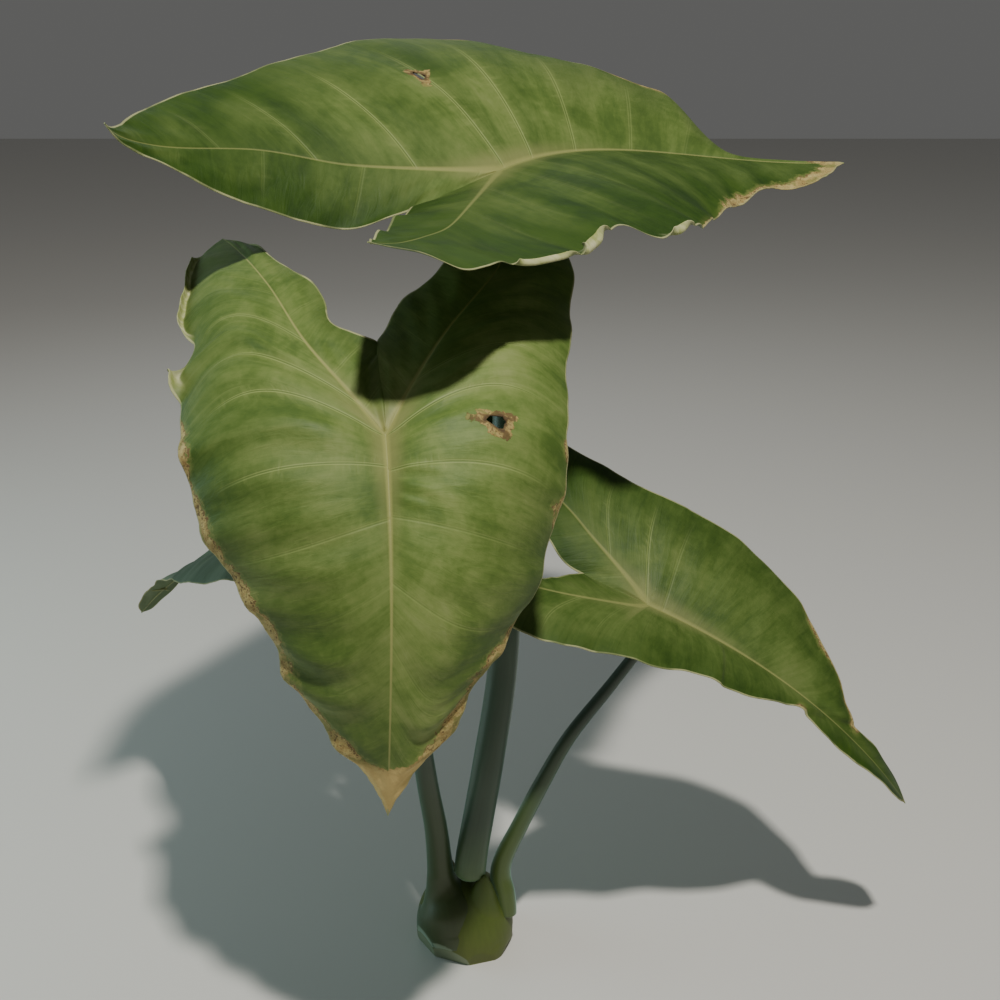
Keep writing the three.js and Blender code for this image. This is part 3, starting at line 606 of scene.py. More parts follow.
LEAVES = {
    "front": {
        **PLAIN_LEAF, "outline": FRONT_OUTLINE, "size": 0.952, "junction": (-54.2, -197, 639),
        "heading": -82, "climb": -36, "roll": 2, "droop": (100, -24), "sweep": -11, "twist": (-1, 0),
        "lobes": {"left": (31, -6), "right": (22, 11)},
        "fold": (31, -55, -15, 0, -3, -3), "arch": (-85, -10, 42, -6, -1, 23),
        "seed": 3, "puff": 0.55, "ruffle": {"left": 0.55, "right": 0.45}, "ruffle_phase": 0.3,
        "sinus_fill": 6.5,
        "deep": {"left": (0.1, 0), "right": (-0.25, 0), "tip": -0.15, "side": 0.06},
        "veins": {"left": [(-4.4, 0.05), (-3.5, 0.1), (-2.5, 0.25), (-1.5, 0.8), (-0.42, 1), (0.12, 1),
                           (1.05, 0.9), (2.07, 0.55), (3.07, 0.2), (3.95, 0.1), (4.75, 0.05), (5.5, 0.03)],
                  "right": [(-4.4, 0.05), (-3.5, 0.1), (-2.5, 0.1), (-1.6, 0.2), (-0.75, 0.6), (0.1, 1),
                            (1.15, 0.85), (2.02, 0.5), (3.02, 0.5), (3.88, 0.3), (4.75, 0.07), (5.5, 0.04)]},
        "bow": {"left": [(-4.75, 0), (-2.5, -0.4), (-1.5, -0.6), (-0.42, -0.85), (0.12, -0.6), (1.05, -0.1),
                         (2.07, 0.1), (3.5, 0.25), (6.5, 0)],
                "right": [(-4.75, 0), (-1.6, -0.3), (-0.75, -0.4), (0.1, -0.5), (1.15, -0.15), (2.02, 0),
                          (3.02, 0.3), (3.88, 0.6), (5, 0.4), (6.5, 0)]},
        "dry": {"left": [(-55, 0), (-25, 7), (5, 7), (20, 2), (40, 6), (60, 9), (95, 12), (125, 10),
                         (155, 13), (183, 15), (217, 14), (247, 11), (276, 15), (300, 19), (320, 45),
                         (400, 70)],
                "right": [(-5, 0), (8, 7), (22, 1), (50, 3), (62, 11), (80, 2), (110, 0), (170, 0), (190, 8),
                          (212, 14), (238, 11), (262, 18), (300, 24), (320, 45), (400, 70)]},
        "curls": {"left": [(-4.3, -1.75, 10, 115), (-1.2, -0.7, 12, 130)], "right": []},
        "pleats": [(32, 8, 40, 50, 9, 1.5), (46, 8, 58, 44, 10, 1.6), (60, 7, 68, 32, 9, 1.2)],
        "hole": (3, 98, 5.5, 8),
    },
    "top": {
        **PLAIN_LEAF, "outline": TOP_OUTLINE, "size": 1.175, "junction": (38, 137, 810),
        "heading": 43, "climb": 14, "roll": 32, "droop": (47, -76), "sweep": -59, "twist": (-7, 0),
        "lobes": {"left": (-37, -1), "right": (45, -76)},
        "fold": (27, -23, 22, -6, 1, 18), "arch": (-31, 0, -13, -13, 4, -25), "right_tip_drop": 50,
        "seed": 8, "puff": 0.32, "ruffle": {"left": 0.8, "right": 0.25}, "ruffle_phase": 0.8,
        "deep": {"left": (0.98, 0.5), "right": (0.36, 0.8), "tip": 0, "side": 0.22},
        "veins": {"left": FAINT_VEINS,
                  "right": [(-4.4, 0.1), (-3.7, 0.2), (-2.75, 0.5), (-1.8, 0.9), (-0.85, 1), (0.3, 1),
                            (1.25, 1), (2.3, 0.75), (3.4, 0.5), (4.3, 0.25), (5.2, 0.1)]},
        "bow": {"left": GENTLE_BOW, "right": [(-4.75, 0), (0.3, 0.12), (2, 0.05), (6.5, 0)]},
        "dry": {"left": [(60, 0), (80, 3), (110, 2), (165, 2), (195, 8), (228, 11), (252, 4), (276, 5),
                         (300, 13), (325, 17), (400, 18)],
                "right": [(50, 0), (65, 3), (95, 4), (110, 0), (165, 0), (185, 4), (230, 5), (270, 7),
                          (300, 10), (330, 16), (400, 18)]},
        "curls": {"left": [(-2.8, -1.7, 5.7, 150), (-1.7, -0.65, 12, 160), (0, 0.65, 8.4, 150)], "right": []},
        "hole": (5, 117, 4, 6),
    },
    "right": {
        **PLAIN_LEAF, "outline": RIGHT_OUTLINE, "size": 1, "junction": (190, 15, 392),
        "heading": -10, "climb": -22, "roll": 22, "droop": (25, 10), "sweep": -8, "twist": (0, -22),
        "lobes": {"left": (-15, 0), "right": (-15, 0)},
        "fold": (30, -30, 0, 0, 0, 0), "arch": (-50, 0, 0, 0, 0, 0),
        "seed": 13, "puff": 0.2, "ruffle": {"left": 0.3, "right": 0.2}, "ruffle_phase": 0.1,
        "deep": {"left": (0.68, 0), "right": (0.55, 1.3), "tip": 0.45, "side": 0.06},
        "veins": {"left": [(-4.4, 0.05), (-3.4, 0.1), (-2.4, 0.4), (-1.45, 0.6), (-0.5, 0.3), (0.4, 0.2),
                           (1.4, 0.12), (2.4, 0.08), (3.4, 0.07), (4.4, 0.07), (5.4, 0.05)],
                  "right": [(-4.4, 0.05), (-3.4, 0.1), (-2.3, 0.3), (-0.98, 0.6), (-0.08, 0.9), (0.6, 0.5),
                            (1.5, 0.12), (2.4, 0.08), (3.4, 0.07), (4.4, 0.07), (5.4, 0.05)]},
        "dry": {"left": [(168, 0), (180, 4), (195, 0), (320, 0), (400, 6)],
                "right": [(135, 0), (160, 4), (185, 5), (205, 2), (235, 3), (250, 6), (268, 0), (320, 0),
                          (400, 6)]},
        "pleats": [(80, -2, 88, -76, 34, 3), (262, 28, 176, -29, 26, 4.8)],
    },
    "back": {
        **PLAIN_LEAF, "outline": BACK_OUTLINE, "size": 0.788, "junction": (-178, 130, 422),
        "heading": 153, "climb": -13, "roll": -4, "droop": (32, 6), "sweep": 4, "twist": (0, 46),
        "lobes": {"left": (-16, -10), "right": (-16, -10)},
        "fold": (28, -20, 0, 0, 0, 0), "arch": (-60, -10, 0, 0, 0, 0),
        "seed": 21, "puff": 0.3, "ruffle": {"left": 0.3, "right": 0.3}, "ruffle_phase": 0.6,
        "deep": {"left": (0, 0), "right": (0, 0), "tip": 0, "side": 0.1}, "painted_blue_sheen": 1,
        "veins": {"left": FULL_VEINS, "right": FULL_VEINS},
        "dry": {"left": [(335, 0), (400, 5)], "right": [(335, 0), (400, 5)]},
    },
}


def soft_step(value, start, end):
    x = np.clip((value - start) / (end - start), 0, 1)
    return x * x * (3 - 2 * x)


def between(rows, first, last):
    """1 between two side veins, fading out over the last 0.3 of a vein before each."""
    return soft_step(rows, first, first + 0.3) * soft_step(rows, last, last - 0.3)


def turned(axis, degrees):
    c, s = math.cos(math.radians(degrees)), math.sin(math.radians(degrees))
    return np.array({"x": [[1, 0, 0], [0, c, -s], [0, s, c]], "y": [[c, 0, -s], [0, 1, 0], [s, 0, c]],
                     "z": [[c, -s, 0], [s, c, 0], [0, 0, 1]]}[axis])


def bend_blade(leaf, flat):
    """Flat places on the blade, along the midrib and across, bent to their place in the room."""
    u, v = flat[:, 0], flat[:, 1]
    mid = (np.arange(16) + 0.5) / 16
    side = v / np.hypot(v, CREASE_SOFTNESS)
    lobe, lobe_more = (((1 + side) * right + (1 - side) * left) / 2
                       for left, right in zip(leaf["lobes"]["left"], leaf["lobes"]["right"]))
    tip_part, lobe_part = np.maximum(u, 0) / BLADE_LENGTH, np.maximum(-u, 0) / BLADE_LENGTH
    droop, droop_more = leaf["droop"]

    def slope(a, b, lobe, lobe_more):
        return np.radians(-droop * a - droop_more * a * a + lobe * b + lobe_more * b * b)

    def across_blade(start, tip, lobe, skew, skew_tip, skew_lobe):
        return (start + tip * tip_part + lobe * lobe_part
                + side * (skew + skew_tip * tip_part + skew_lobe * lobe_part))

    t = u[:, None] * mid
    a, b = np.maximum(t, 0) / BLADE_LENGTH, np.maximum(-t, 0) / BLADE_LENGTH
    pitch, yaw = slope(a, b, lobe[:, None], lobe_more[:, None]), np.radians(leaf["sweep"] * a)
    spine = np.stack([(np.cos(pitch) * np.cos(yaw)).mean(1) * u, (np.cos(pitch) * np.sin(yaw)).mean(1) * u,
                      np.sin(pitch).mean(1) * u], -1)
    pitch, yaw = slope(tip_part, lobe_part, lobe, lobe_more), np.radians(leaf["sweep"] * tip_part)
    drop = leaf["right_tip_drop"] * soft_step(u / BLADE_LENGTH, TIP_DROP_START, TIP_DROP_END)
    fold = across_blade(*leaf["fold"]) - np.maximum(side, 0) * drop
    arch = across_blade(*leaf["arch"])
    half = np.abs(v)
    angle = np.radians(fold)[:, None] + np.radians(arch)[:, None] * half[:, None] * mid / 200
    across, up = np.sign(v) * np.cos(angle).mean(1) * half, np.sin(angle).mean(1) * half
    whole_twist, tip_twist = leaf["twist"]
    tip_share = soft_step(u / BLADE_LENGTH, TIP_TWIST_START, 1)
    twist = np.radians(whole_twist * u / BLADE_LENGTH + tip_twist * tip_share)
    across, up = across * np.cos(twist) - up * np.sin(twist), across * np.sin(twist) + up * np.cos(twist)
    forward = np.stack([np.cos(pitch) * np.cos(yaw), np.cos(pitch) * np.sin(yaw), np.sin(pitch)], -1)
    sideways = np.stack([-np.sin(yaw), np.cos(yaw), np.zeros_like(yaw)], -1)
    point = spine + across[:, None] * sideways + up[:, None] * np.cross(forward, sideways)
    turn = turned("z", leaf["heading"]) @ turned("y", leaf["climb"]) @ turned("x", leaf["roll"])
    return leaf["size"] * point @ turn.T + np.array(leaf["junction"], float)


def blade_normal(leaf, flat):
    ahead = bend_blade(leaf, flat + (2, 0)) - bend_blade(leaf, flat - (2, 0))
    leftwards = bend_blade(leaf, flat + (0, 2)) - bend_blade(leaf, flat - (0, 2))
    return unit(np.cross(ahead, leftwards))


def even_curve(points):
    """Reads the smooth curve through flat points at shares of its length."""
    count = len(points) - 1
    table = np.linspace(0, count, 401)
    line = path_through(points, table, open_ends=False)
    lengths = np.concatenate([[0], np.cumsum(np.linalg.norm(np.diff(line, axis=0), axis=1))])
    return lambda share: path_through(points, np.interp(share * lengths[-1], lengths, table), open_ends=False)


def ragged(rng, places, size, coarse, fine):
    """Uneven nibbling of a margin: random heights at two spacings, joined by straight lines."""
    total = np.zeros_like(places)
    for step, share in ((coarse, 0.6), (fine, 0.4)):
        knots = np.arange(places.min() - step, places.max() + 2 * step, step)
        total += share * size * np.interp(places, knots, rng.random(len(knots)))
    return total


def half_sheet(leaf, name):
    """Grids of one half of a blade: flat places and what is known of each place for its relief and finish."""
    half = leaf["outline"][name]
    tip, sinus, lobe = leaf["outline"]["tip"], leaf["outline"]["sinus"], half["lobe"]
    rng = np.random.default_rng(leaf["seed"] + (100 if name == "left" else 200))
    margin = even_curve([lobe, *half["outer"], tip])
    inner = even_curve([sinus, *half["inner"], lobe])
    costa = even_curve([(0, 0), *half["costa"], lobe])
    shares = np.linspace(0, 1, 401)
    split = shares[np.argmax(margin(shares)[:, 0] > FIRST_LATERAL_END)]
    roots, strengths = np.array(leaf["veins"][name]).T
    roots = np.concatenate([[roots[0] - 1], roots, [roots[-1] + 1]])
    strengths = np.concatenate([[0], strengths, [0]])
    vein = np.concatenate([np.linspace(-LOBE_VEINS, 0, LOBE_ROWS),
                           np.linspace(0, FORWARD_VEINS, TIP_ROWS)[1:]])
    knots = np.unique(np.concatenate([np.linspace(-LOBE_VEINS, 0, 300), np.linspace(0, FORWARD_VEINS, 400)]))
    lobe_knots, tip_knots = np.maximum(-knots, 0) / LOBE_VEINS, np.maximum(knots, 0) / FORWARD_VEINS
    axis_line = np.where((knots < 0)[:, None], costa(lobe_knots),
                         np.stack([tip[0] * tip_knots ** VEIN_CROWDING, 0 * knots], -1))
    margin_line = np.where((knots < 0)[:, None], margin(split * (1 - lobe_knots)),
                           margin(split + (1 - split) * tip_knots))
    behind = np.where((lobe_knots < SINUS_SHARE)[:, None],
                      np.stack([sinus[0] * lobe_knots / SINUS_SHARE, 0 * knots], -1),
                      inner(np.clip((lobe_knots - SINUS_SHARE) / (1 - SINUS_SHARE), 0, 1)))

    def read(line, c):
        return np.stack([np.interp(c, knots, line[:, 0]), np.interp(c, knots, line[:, 1])], -1)

    def sheet(rows, far_line, middle, is_inner, is_edge):
        start, end = read(axis_line, rows), read(far_line, rows)
        along = np.concatenate([[0], np.cumsum(np.linalg.norm(np.diff(end, axis=0), axis=1))])
        dry = np.interp(end[:, 0], *np.array(leaf["dry"][name], float).T)
        tears = np.minimum(dry, 16) * 0.27  # dead margin is torn by up to a quarter of its width
        nibble = ragged(rng, along, 1.1, 26, 9) + ragged(rng, along, 1, 11, 4) * tears
        nibble = np.minimum(nibble, 0.3 * np.linalg.norm(end - start, axis=1)) * is_edge
        if not is_inner:
            for first, last, width, _ in leaf["curls"][name]:
                nibble -= 0.7 * width * between(rows, first, last)
        room = np.maximum(np.linalg.norm(end - start, axis=1), 1e-6)
        end = start + (end - start) * (1 - nibble / room)[:, None]
        reach = np.linalg.norm(end - start, axis=1)
        tight = np.minimum(1, reach / FULL_REACH)
        safe = np.maximum(reach, 1e-6)[:, None]
        near, far = NEAR_AXIS * tight[:, None] / safe, 1 - NEAR_MARGIN * tight[:, None] / safe
        fill = near[:, -1:] + (far[:, :1] - near[:, -1:]) * np.linspace(0, 1, middle + 2)[1:-1]
        t = np.hstack([near, fill, far])
        t = np.where(reach[:, None] < 1e-6, np.linspace(0, 1, t.shape[1]), t)
        swing = np.interp(rows, *np.array(leaf["bow"][name], float).T) * (0 if is_inner else 1)
        c = np.clip(rows[:, None] + swing[:, None] * np.sin(np.pi * t), -LOBE_VEINS, FORWARD_VEINS)
        shift = read(far_line, c) - read(far_line, rows)[:, None]
        base = read(axis_line, c)
        flat = base + (end[:, None] + shift - base) * t[..., None]
        spread = np.gradient(flat, rows, axis=0)
        course = unit(np.gradient(flat, axis=1))
        spacing = np.abs(spread[..., 0] * course[..., 1] - spread[..., 1] * course[..., 0])
        run = (end - start) / safe

        def squareness(line):
            """How squarely the rows meet a line, from 0 along it to 1 straight across."""
            tangent = unit(np.gradient(line, axis=0))
            return np.abs(tangent[:, 0] * run[:, 1] - tangent[:, 1] * run[:, 0])

        def widened(values):
            return np.broadcast_to(values[:, None], t.shape)

        full = np.where(rows < 0, -rows / LOBE_VEINS, rows / FORWARD_VEINS)
        away = np.linalg.norm(start, axis=1)
        lobe_rib, midrib = (width * np.exp(-(away / fade) ** 1.2) for width, fade in (LOBE_RIB, MIDRIB))
        rib = np.where(rows < 0, lobe_rib, midrib) + LEAST_RIB
        rib = rib + 1.5 * np.exp(-(away / 14) ** 2) * (rows < 0)
        own_roots = roots - (0.5 if is_inner else 0)
        nearest = np.argmin(np.abs(rows[:, None] - own_roots), axis=1)
        order = np.interp(rows, own_roots, np.arange(len(roots)))
        shown = strengths[nearest] * (0.45 if is_inner else 1) * np.clip(6 * (1 - full), 0, 1)
        lip = np.zeros(t.shape)
        if not is_inner:
            for first, last, width, _ in leaf["curls"][name]:
                rolled = soft_step((1 - t) * reach[:, None], width * 1.05, width * 0.8)
                lip = np.maximum(lip, between(rows, first, last)[:, None] * rolled)
        # Painted shade: part of the listed darkening of a half, of its lobe and of its tip stands for shade,
        # as on the top leaf's near half and on the right leaf's lobe and tail.
        deep, deep_lobe = leaf["deep"][name]
        return {
            "flat": flat, "t": t, "vein": widened(rows), "row": rows, "number": widened(order),
            "vein_step": spacing / np.maximum(np.gradient(order, rows), 0.2)[:, None],
            "axis_gap": t * (reach * np.clip(squareness(start), 0.35, 1))[:, None],
            "edge_gap": (1 - t) * (reach * np.clip(squareness(end), 0.3, 1))[:, None],
            "rib": widened(rib), "lip": lip, "fade": widened(np.minimum(1, 5 * (1 - full))),
            "deep": (deep + leaf["deep"]["tip"] * soft_step(flat[..., 0], 185, 250)
                     + deep_lobe * soft_step(-flat[..., 0], 40, 190)
                     + leaf["deep"]["side"] * np.sin(2 * np.pi * order)[:, None] * 4 * t * (1 - t)),
            "vein_fade": shown[:, None] * (1 - 0.92 * soft_step(t, 0.5, 0.92)),
            "dry": np.interp(flat[..., 0], *np.array(leaf["dry"][name], float).T) * (0 if is_inner else 1),
            "side_veins": [i for i in range(len(roots)) if strengths[i] > RAISED_VEIN and not is_inner],
            "roots": own_roots, "joined": (is_inner & (-rows / LOBE_VEINS < SINUS_SHARE + 1e-9))[:, None],
        }

    outer = sheet(vein, margin_line, MIDDLE_COLUMNS, False, np.ones(len(vein)))
    lobe_rows = vein[vein <= 0]
    lobe_rows = np.unique(np.concatenate([lobe_rows, [-LOBE_VEINS * SINUS_SHARE]]))
    past_sinus = (-lobe_rows / LOBE_VEINS > SINUS_SHARE + 1e-9).astype(float)
    inside = sheet(lobe_rows, behind, INNER_MIDDLE_COLUMNS, True, past_sinus)
    inside["edge_gap"] = np.where(past_sinus[:, None] > 0, inside["edge_gap"], 60)
    return outer, inside


def curl_lip(points, normals, rows, width, first, last, turn):
    """Rolls the outermost strip of a sheet up and back over the blade, between two side veins."""
    strength = between(rows, first, last)
    hinge = points.shape[1] - int((NEAR_MARGIN < width).sum())
    base = points[:, hinge - 1]
    outward = unit(base - points[:, hinge - 2])
    normal = normals[:, hinge - 1]
    steps = np.linalg.norm(np.diff(points[:, hinge - 1:], axis=1), axis=2)
    run = np.cumsum(steps, axis=1) / np.maximum(steps.sum(1), 1e-6)[:, None]
    angle = np.radians(turn) * strength[:, None] * np.minimum(run / 0.5, 1)
    inward = np.concatenate([np.zeros((len(rows), 1)), angle[:, :-1]], axis=1)
    middle = (angle + inward) / 2
    rise = np.cumsum(steps * np.sin(middle), axis=1)[..., None]
    reach = np.cumsum(steps * np.cos(middle), axis=1)[..., None]
    mix = (strength > 1e-3)[:, None, None]
    points[:, hinge:] = np.where(mix, base[:, None] + outward[:, None] * reach + normal[:, None] * rise,
                                 points[:, hinge:])
    rolled = normal[:, None] * np.cos(angle)[..., None] - outward[:, None] * np.sin(angle)[..., None]
    normals[:, hinge:] = np.where(mix, rolled, normals[:, hinge:])


def sheet_relief(leaf, sheet, half_name, is_inner):
    """Height in millimetres above the smooth blade: pillows between side veins, waves of the margin,
    uneven dents, and a shallow channel over the midrib."""
    vein, t, number = sheet["vein"], sheet["t"], sheet["number"]
    sign = -1.0 if half_name == "left" else 1.0
    height = leaf["puff"] * PILLOW_HEIGHT * np.sin(np.pi * number) ** 2 * 4 * t * (1 - t)
    wave = np.sin(2 * np.pi * vein / RUFFLE_VEINS + 2 * np.pi * leaf["ruffle_phase"] + sign)
    height = height + leaf["ruffle"][half_name] * RUFFLE_HEIGHT * wave * t ** 3
    rng = np.random.default_rng(leaf["seed"] + int(sign) + 50)
    for wave_number in range(12):
        rate, run, size = rng.uniform(0.3, 2.4), rng.uniform(0.2, 1.5), rng.uniform(0.3, 0.75)
        dent = np.sin(2 * np.pi * (rate * vein + run * t) + rng.uniform(0, 6.3))
        height = height + leaf["puff"] * size * dent * soft_step(t, 0.05, 0.45)
    u, v = sheet["flat"][..., 0], sheet["flat"][..., 1]
    for start_u, start_v, end_u, end_v, width, size in leaf["pleats"]:
        length = math.hypot(end_u - start_u, end_v - start_v)
        along_u, along_v = (end_u - start_u) / length, (end_v - start_v) / length
        along = ((u - start_u) * along_u + (v - start_v) * along_v) / length
        past = (v - start_v) * along_u - (u - start_u) * along_v
        fold = soft_step(past, -width, -1) * (1 - soft_step(past, -1, 4))
        clear = 1 - np.exp(-(sheet["axis_gap"] / 8) ** 2)
        height = height + size * fold * clear * soft_step(along, -0.05, 0.3) * soft_step(along, 1.12, 0.78)
    height = height * sheet["fade"] * np.where(sheet["joined"], 1 - soft_step(t, 0.5, 1), 1)
    height = height - 0.45 * np.exp(-(sheet["axis_gap"] / sheet["rib"]) ** 2) * sheet["fade"]
    filled = leaf["sinus_fill"] * np.exp(-(v / 13) ** 2) * soft_step(-u, 2, 34) * soft_step(u, -150, -105)
    return height + filled * (1 if is_inner else 0)


def rise_lines(sheet, lower, normals):
    """Centre lines and thickness of the side veins that stand out below one sheet."""
    lines = []
    rows, t = sheet["row"], sheet["t"]
    for number in sheet["side_veins"]:
        root = sheet["roots"][number]
        if not -0.9 * LOBE_VEINS < root < 0.9 * FORWARD_VEINS:
            continue
        row = int(np.searchsorted(rows, root))
        share = (root - rows[row - 1]) / (rows[row] - rows[row - 1])
        keep = slice(2, int(np.argmax(t[row] > 0.84)), 2)
        thick = 1.7 - 1.25 * t[row, keep] / 0.84
        line = lower[row - 1, keep] * (1 - share) + lower[row, keep] * share
        line = line + normals[row, keep] * (VEIN_ROOF - thick)[:, None]
        if len(line) > 4:
            lines.append(np.column_stack([line, thick]))
    return lines


def fuse(sheets):
    """Joins grids of equal places into one list of points and triangles."""
    flats = np.vstack([s["flat"].reshape(-1, 2) for s in sheets])
    keys = np.round(flats * 50).astype(np.int64)
    _, first, inverse = np.unique(keys[:, 0] * 1000003 + keys[:, 1], return_index=True, return_inverse=True)
    triangles = []
    start = 0
    for sheet in sheets:
        rows, columns = sheet["flat"].shape[:2]
        ids = inverse[start:start + rows * columns].reshape(rows, columns)
        start += rows * columns
        a, b, c, d = ids[:-1, :-1], ids[1:, :-1], ids[1:, 1:], ids[:-1, 1:]
        pair = np.concatenate([np.stack([a, b, c], -1).reshape(-1, 3), np.stack([a, c, d], -1).reshape(-1, 3)])
        triangles.append(pair[:, ::-1] if sheet["flip"] else pair)
    triangles = np.vstack(triangles)
    whole = ((triangles[:, 0] != triangles[:, 1]) & (triangles[:, 1] != triangles[:, 2])
             & (triangles[:, 2] != triangles[:, 0]))
    return first, triangles[whole]


# The tissue is mottled olive green above and paler below, with fine pale veins, a cream edge and tan, dead
# margins. A vein is drawn by its gap from each place, which the mesh knows.
green = Finish("leaf_tissue")
known, ramp, noise, shades, blend = green.known, green.ramp, green.noise, green.shades, green.blend
flat = known("flat_place", 1)
seed = green.node("SeparateXYZ", 2, Vector=flat)
vein, number, vein_step, vein_fade = map(known, ("vein", "number", "vein_step", "vein_fade"))
axis_gap, edge_gap, rib, dry, wound = map(known, ("axis_gap", "edge_gap", "rib", "dry", "wound"))
lip, deep, painted_blue_sheen, below = map(known, ("lip", "deep", "painted_blue_sheen", "below"))
vein_gap = green.math("ABSOLUTE", number - green.math("ROUND", number)) * vein_step
outward = axis_gap / (axis_gap + edge_gap + 0.0001)

cloud = noise(flat, 13.0, 4.0, 0.6, 0.6)
streak = noise(green.together(vein * 3.4, axis_gap * 10.0, seed), 1.2, 5.0, 0.66, 0.6)
wrinkle = noise(green.together(vein * 9.0, axis_gap * 34.0, seed), 1.1, 3.0, 0.6, 0.8)
fine = noise(flat, 110.0, 5.0, 0.7, 0.3)
tone = (cloud * 0.54 + streak * 0.33 + wrinkle * 0.12) * 1.1 + fine * 0.18 - 0.151
tissue = shades(tone, (0.37, (0.064, 0.114, 0.019)), (0.45, (0.094, 0.148, 0.028)),
                (0.51, (0.123, 0.177, 0.041)), (0.57, (0.150, 0.200, 0.053)), (0.66, (0.184, 0.228, 0.074)))
# Painted blue reflection and painted shade on the back leaf: its green is drawn towards a pale blue green.
tissue = blend(painted_blue_sheen, tissue, blend(0.8, tissue, (0.130, 0.180, 0.130)))
# The green is darker towards the margin, except on the back leaf. The listed darkening is added, and it is
# partly the leaf's own deeper green and partly painted shade.
depth = green.math("MINIMUM", ramp(outward, 0.3, 0.95) * (0.46 - painted_blue_sheen * 0.46) + deep, 1.42)
darker = green.together(1.0 - depth * 0.56, 1.0 - depth * 0.46, 1.0 - depth * 0.66)
tissue = blend(1.0, tissue, darker, "MULTIPLY")

# Veins. A pale haze beside each, then its own thin line, and the broad pale midrib.
feather = ramp(noise(green.together(axis_gap * 170.0, vein_gap * 26.0, vein * 3.0), 1.0, 2.0, 0.5), 0.5, 0.7)
near_vein = ramp(vein_gap, 0.015, 0.002) * vein_fade
lighter = 1.0 - ramp(deep, 0.2, 1.0) * 0.45
tissue = blend(feather * near_vein * lighter * 0.30, tissue, (0.200, 0.245, 0.075))
tissue = blend(ramp(vein_gap, 0.0075, 0.0) * vein_fade * lighter * 0.26, tissue, (0.195, 0.240, 0.070))
axis_share = axis_gap / rib
beside_rib = ramp(axis_share, 4.6, 0.7) * ramp(rib, 0.0012, 0.0055)
tissue = blend(beside_rib * lighter * 0.75, tissue, (0.225, 0.235, 0.085))
plain = green.math("POWER", vein_fade, 1.35)
line = (ramp(vein_gap, 0.0018, 0.0012) - ramp(vein_gap, 0.0009, 0.0004) * 0.9) * plain * lighter
tissue = blend(line * 0.72, tissue, (0.260, 0.315, 0.105))
tissue = blend(ramp(vein_gap, 0.0007, 0.0003) * plain * 0.55, tissue, (0.070, 0.115, 0.022))
tissue = blend(ramp(axis_share, 1.1, 0.25) * lighter * 0.85, tissue, (0.285, 0.292, 0.100))
tissue = blend(below, tissue, blend(0.72, tissue, (0.150, 0.205, 0.095)))

# Dead margins and torn holes, tan with brown spots, the yellow fringe beside them and the cream edge.
grain = noise(flat, 95.0, 4.0, 0.65, 0.4)
speck = noise(flat, 300.0, 3.0, 0.6)
patch = noise(flat, 55.0, 3.0, 0.6, 0.5)
wide = ramp(dry, 0.018, 0.04)
bite = grain * 0.016 + speck * 0.013 + patch * 0.024 - 0.0265
inward = dry + bite * ramp(dry, 0.0, 0.008) - edge_gap
torn = wound + patch * 4.0 + grain * 2.4 - 3.2
dead = green.math("MAXIMUM", ramp(inward, -0.0004, 0.0005) * ramp(dry, 0.0004, 0.003), ramp(torn, 2.35, 2.15))
tan = shades(grain * 0.55 + speck * 0.45, (0.36, (0.190, 0.115, 0.040)), (0.44, (0.300, 0.220, 0.078)),
             (0.52, (0.390, 0.310, 0.118)), (0.64, (0.480, 0.405, 0.175)))
tan = blend(ramp(patch, 0.50, 0.42) * (1.0 - wide) * 0.8, tan, (0.170, 0.175, 0.050))
brown = green.math("MAXIMUM", ramp(inward, 0.0032, 0.0004) * ramp(grain, 0.44, 0.54),
                   ramp(speck * 0.6 + patch * 0.4, 0.545, 0.60))
tan = blend(brown * (1.0 - wide * 0.6) * 0.85, tan, (0.085, 0.048, 0.018))
tan = blend(ramp(wound, 1.5, 1.1) * 0.8, tan, (0.060, 0.036, 0.018))
tan = blend(wide * 0.75, tan, (0.640, 0.480, 0.190))
tissue = blend(dead, tissue, tan)
fringe = ramp(inward, -0.007, -0.0004) * (1.0 - dead) * ramp(dry, 0.001, 0.005)
tissue = blend(fringe * 0.4, tissue, (0.260, 0.265, 0.075))
worn = ramp(noise(flat, 30.0, 2.0), 0.38, 0.52, 0.4, 1.0)
cream = ramp(edge_gap, 0.0020, 0.0011) * (1.0 - dead * 0.4) * worn
tissue = blend(cream * 0.9, tissue, (0.360, 0.365, 0.180))
lip_tone = shades(grain * 0.5 + patch * 0.5, (0.40, (0.280, 0.310, 0.100)), (0.50, (0.400, 0.410, 0.200)),
                  (0.60, (0.480, 0.470, 0.280)))
tissue = blend(lip, tissue, lip_tone)

# Relief too fine for the mesh: wrinkles, sunken veins and crumpled dead tissue.
swell = wrinkle * (ramp(outward, 0.0, 0.5) * 0.9 + 0.5) + grain * (dead * 1.6 + 0.12)
swell = swell - feather * near_vein * 0.3 - ramp(vein_gap, 0.0024, 0.0002) * vein_fade * 0.7
rough = dead * 0.2 + ramp(cloud, 0.35, 0.65, 0.54, 0.64)
leaf_green = green.surface(Base_Color=tissue, Roughness=rough, Specular_IOR_Level=0.26,
                           Normal=green.node("Bump", Strength=0.4, Distance=0.0011, Height=swell),
                           Sheen_Weight=0.03, Sheen_Roughness=0.4, Sheen_Tint=(0.82, 0.95, 1.0, 1))

pale = Finish("leaf_rib")
tone = pale.ramp(pale.noise(pale.place(), 40.0, 3.0, 0.5), 0.35, 0.65, 0.85, 1.12, "LINEAR")
rib_finish = pale.surface(Base_Color=pale.scaled((0.235, 0.275, 0.115), tone), Roughness=0.45)


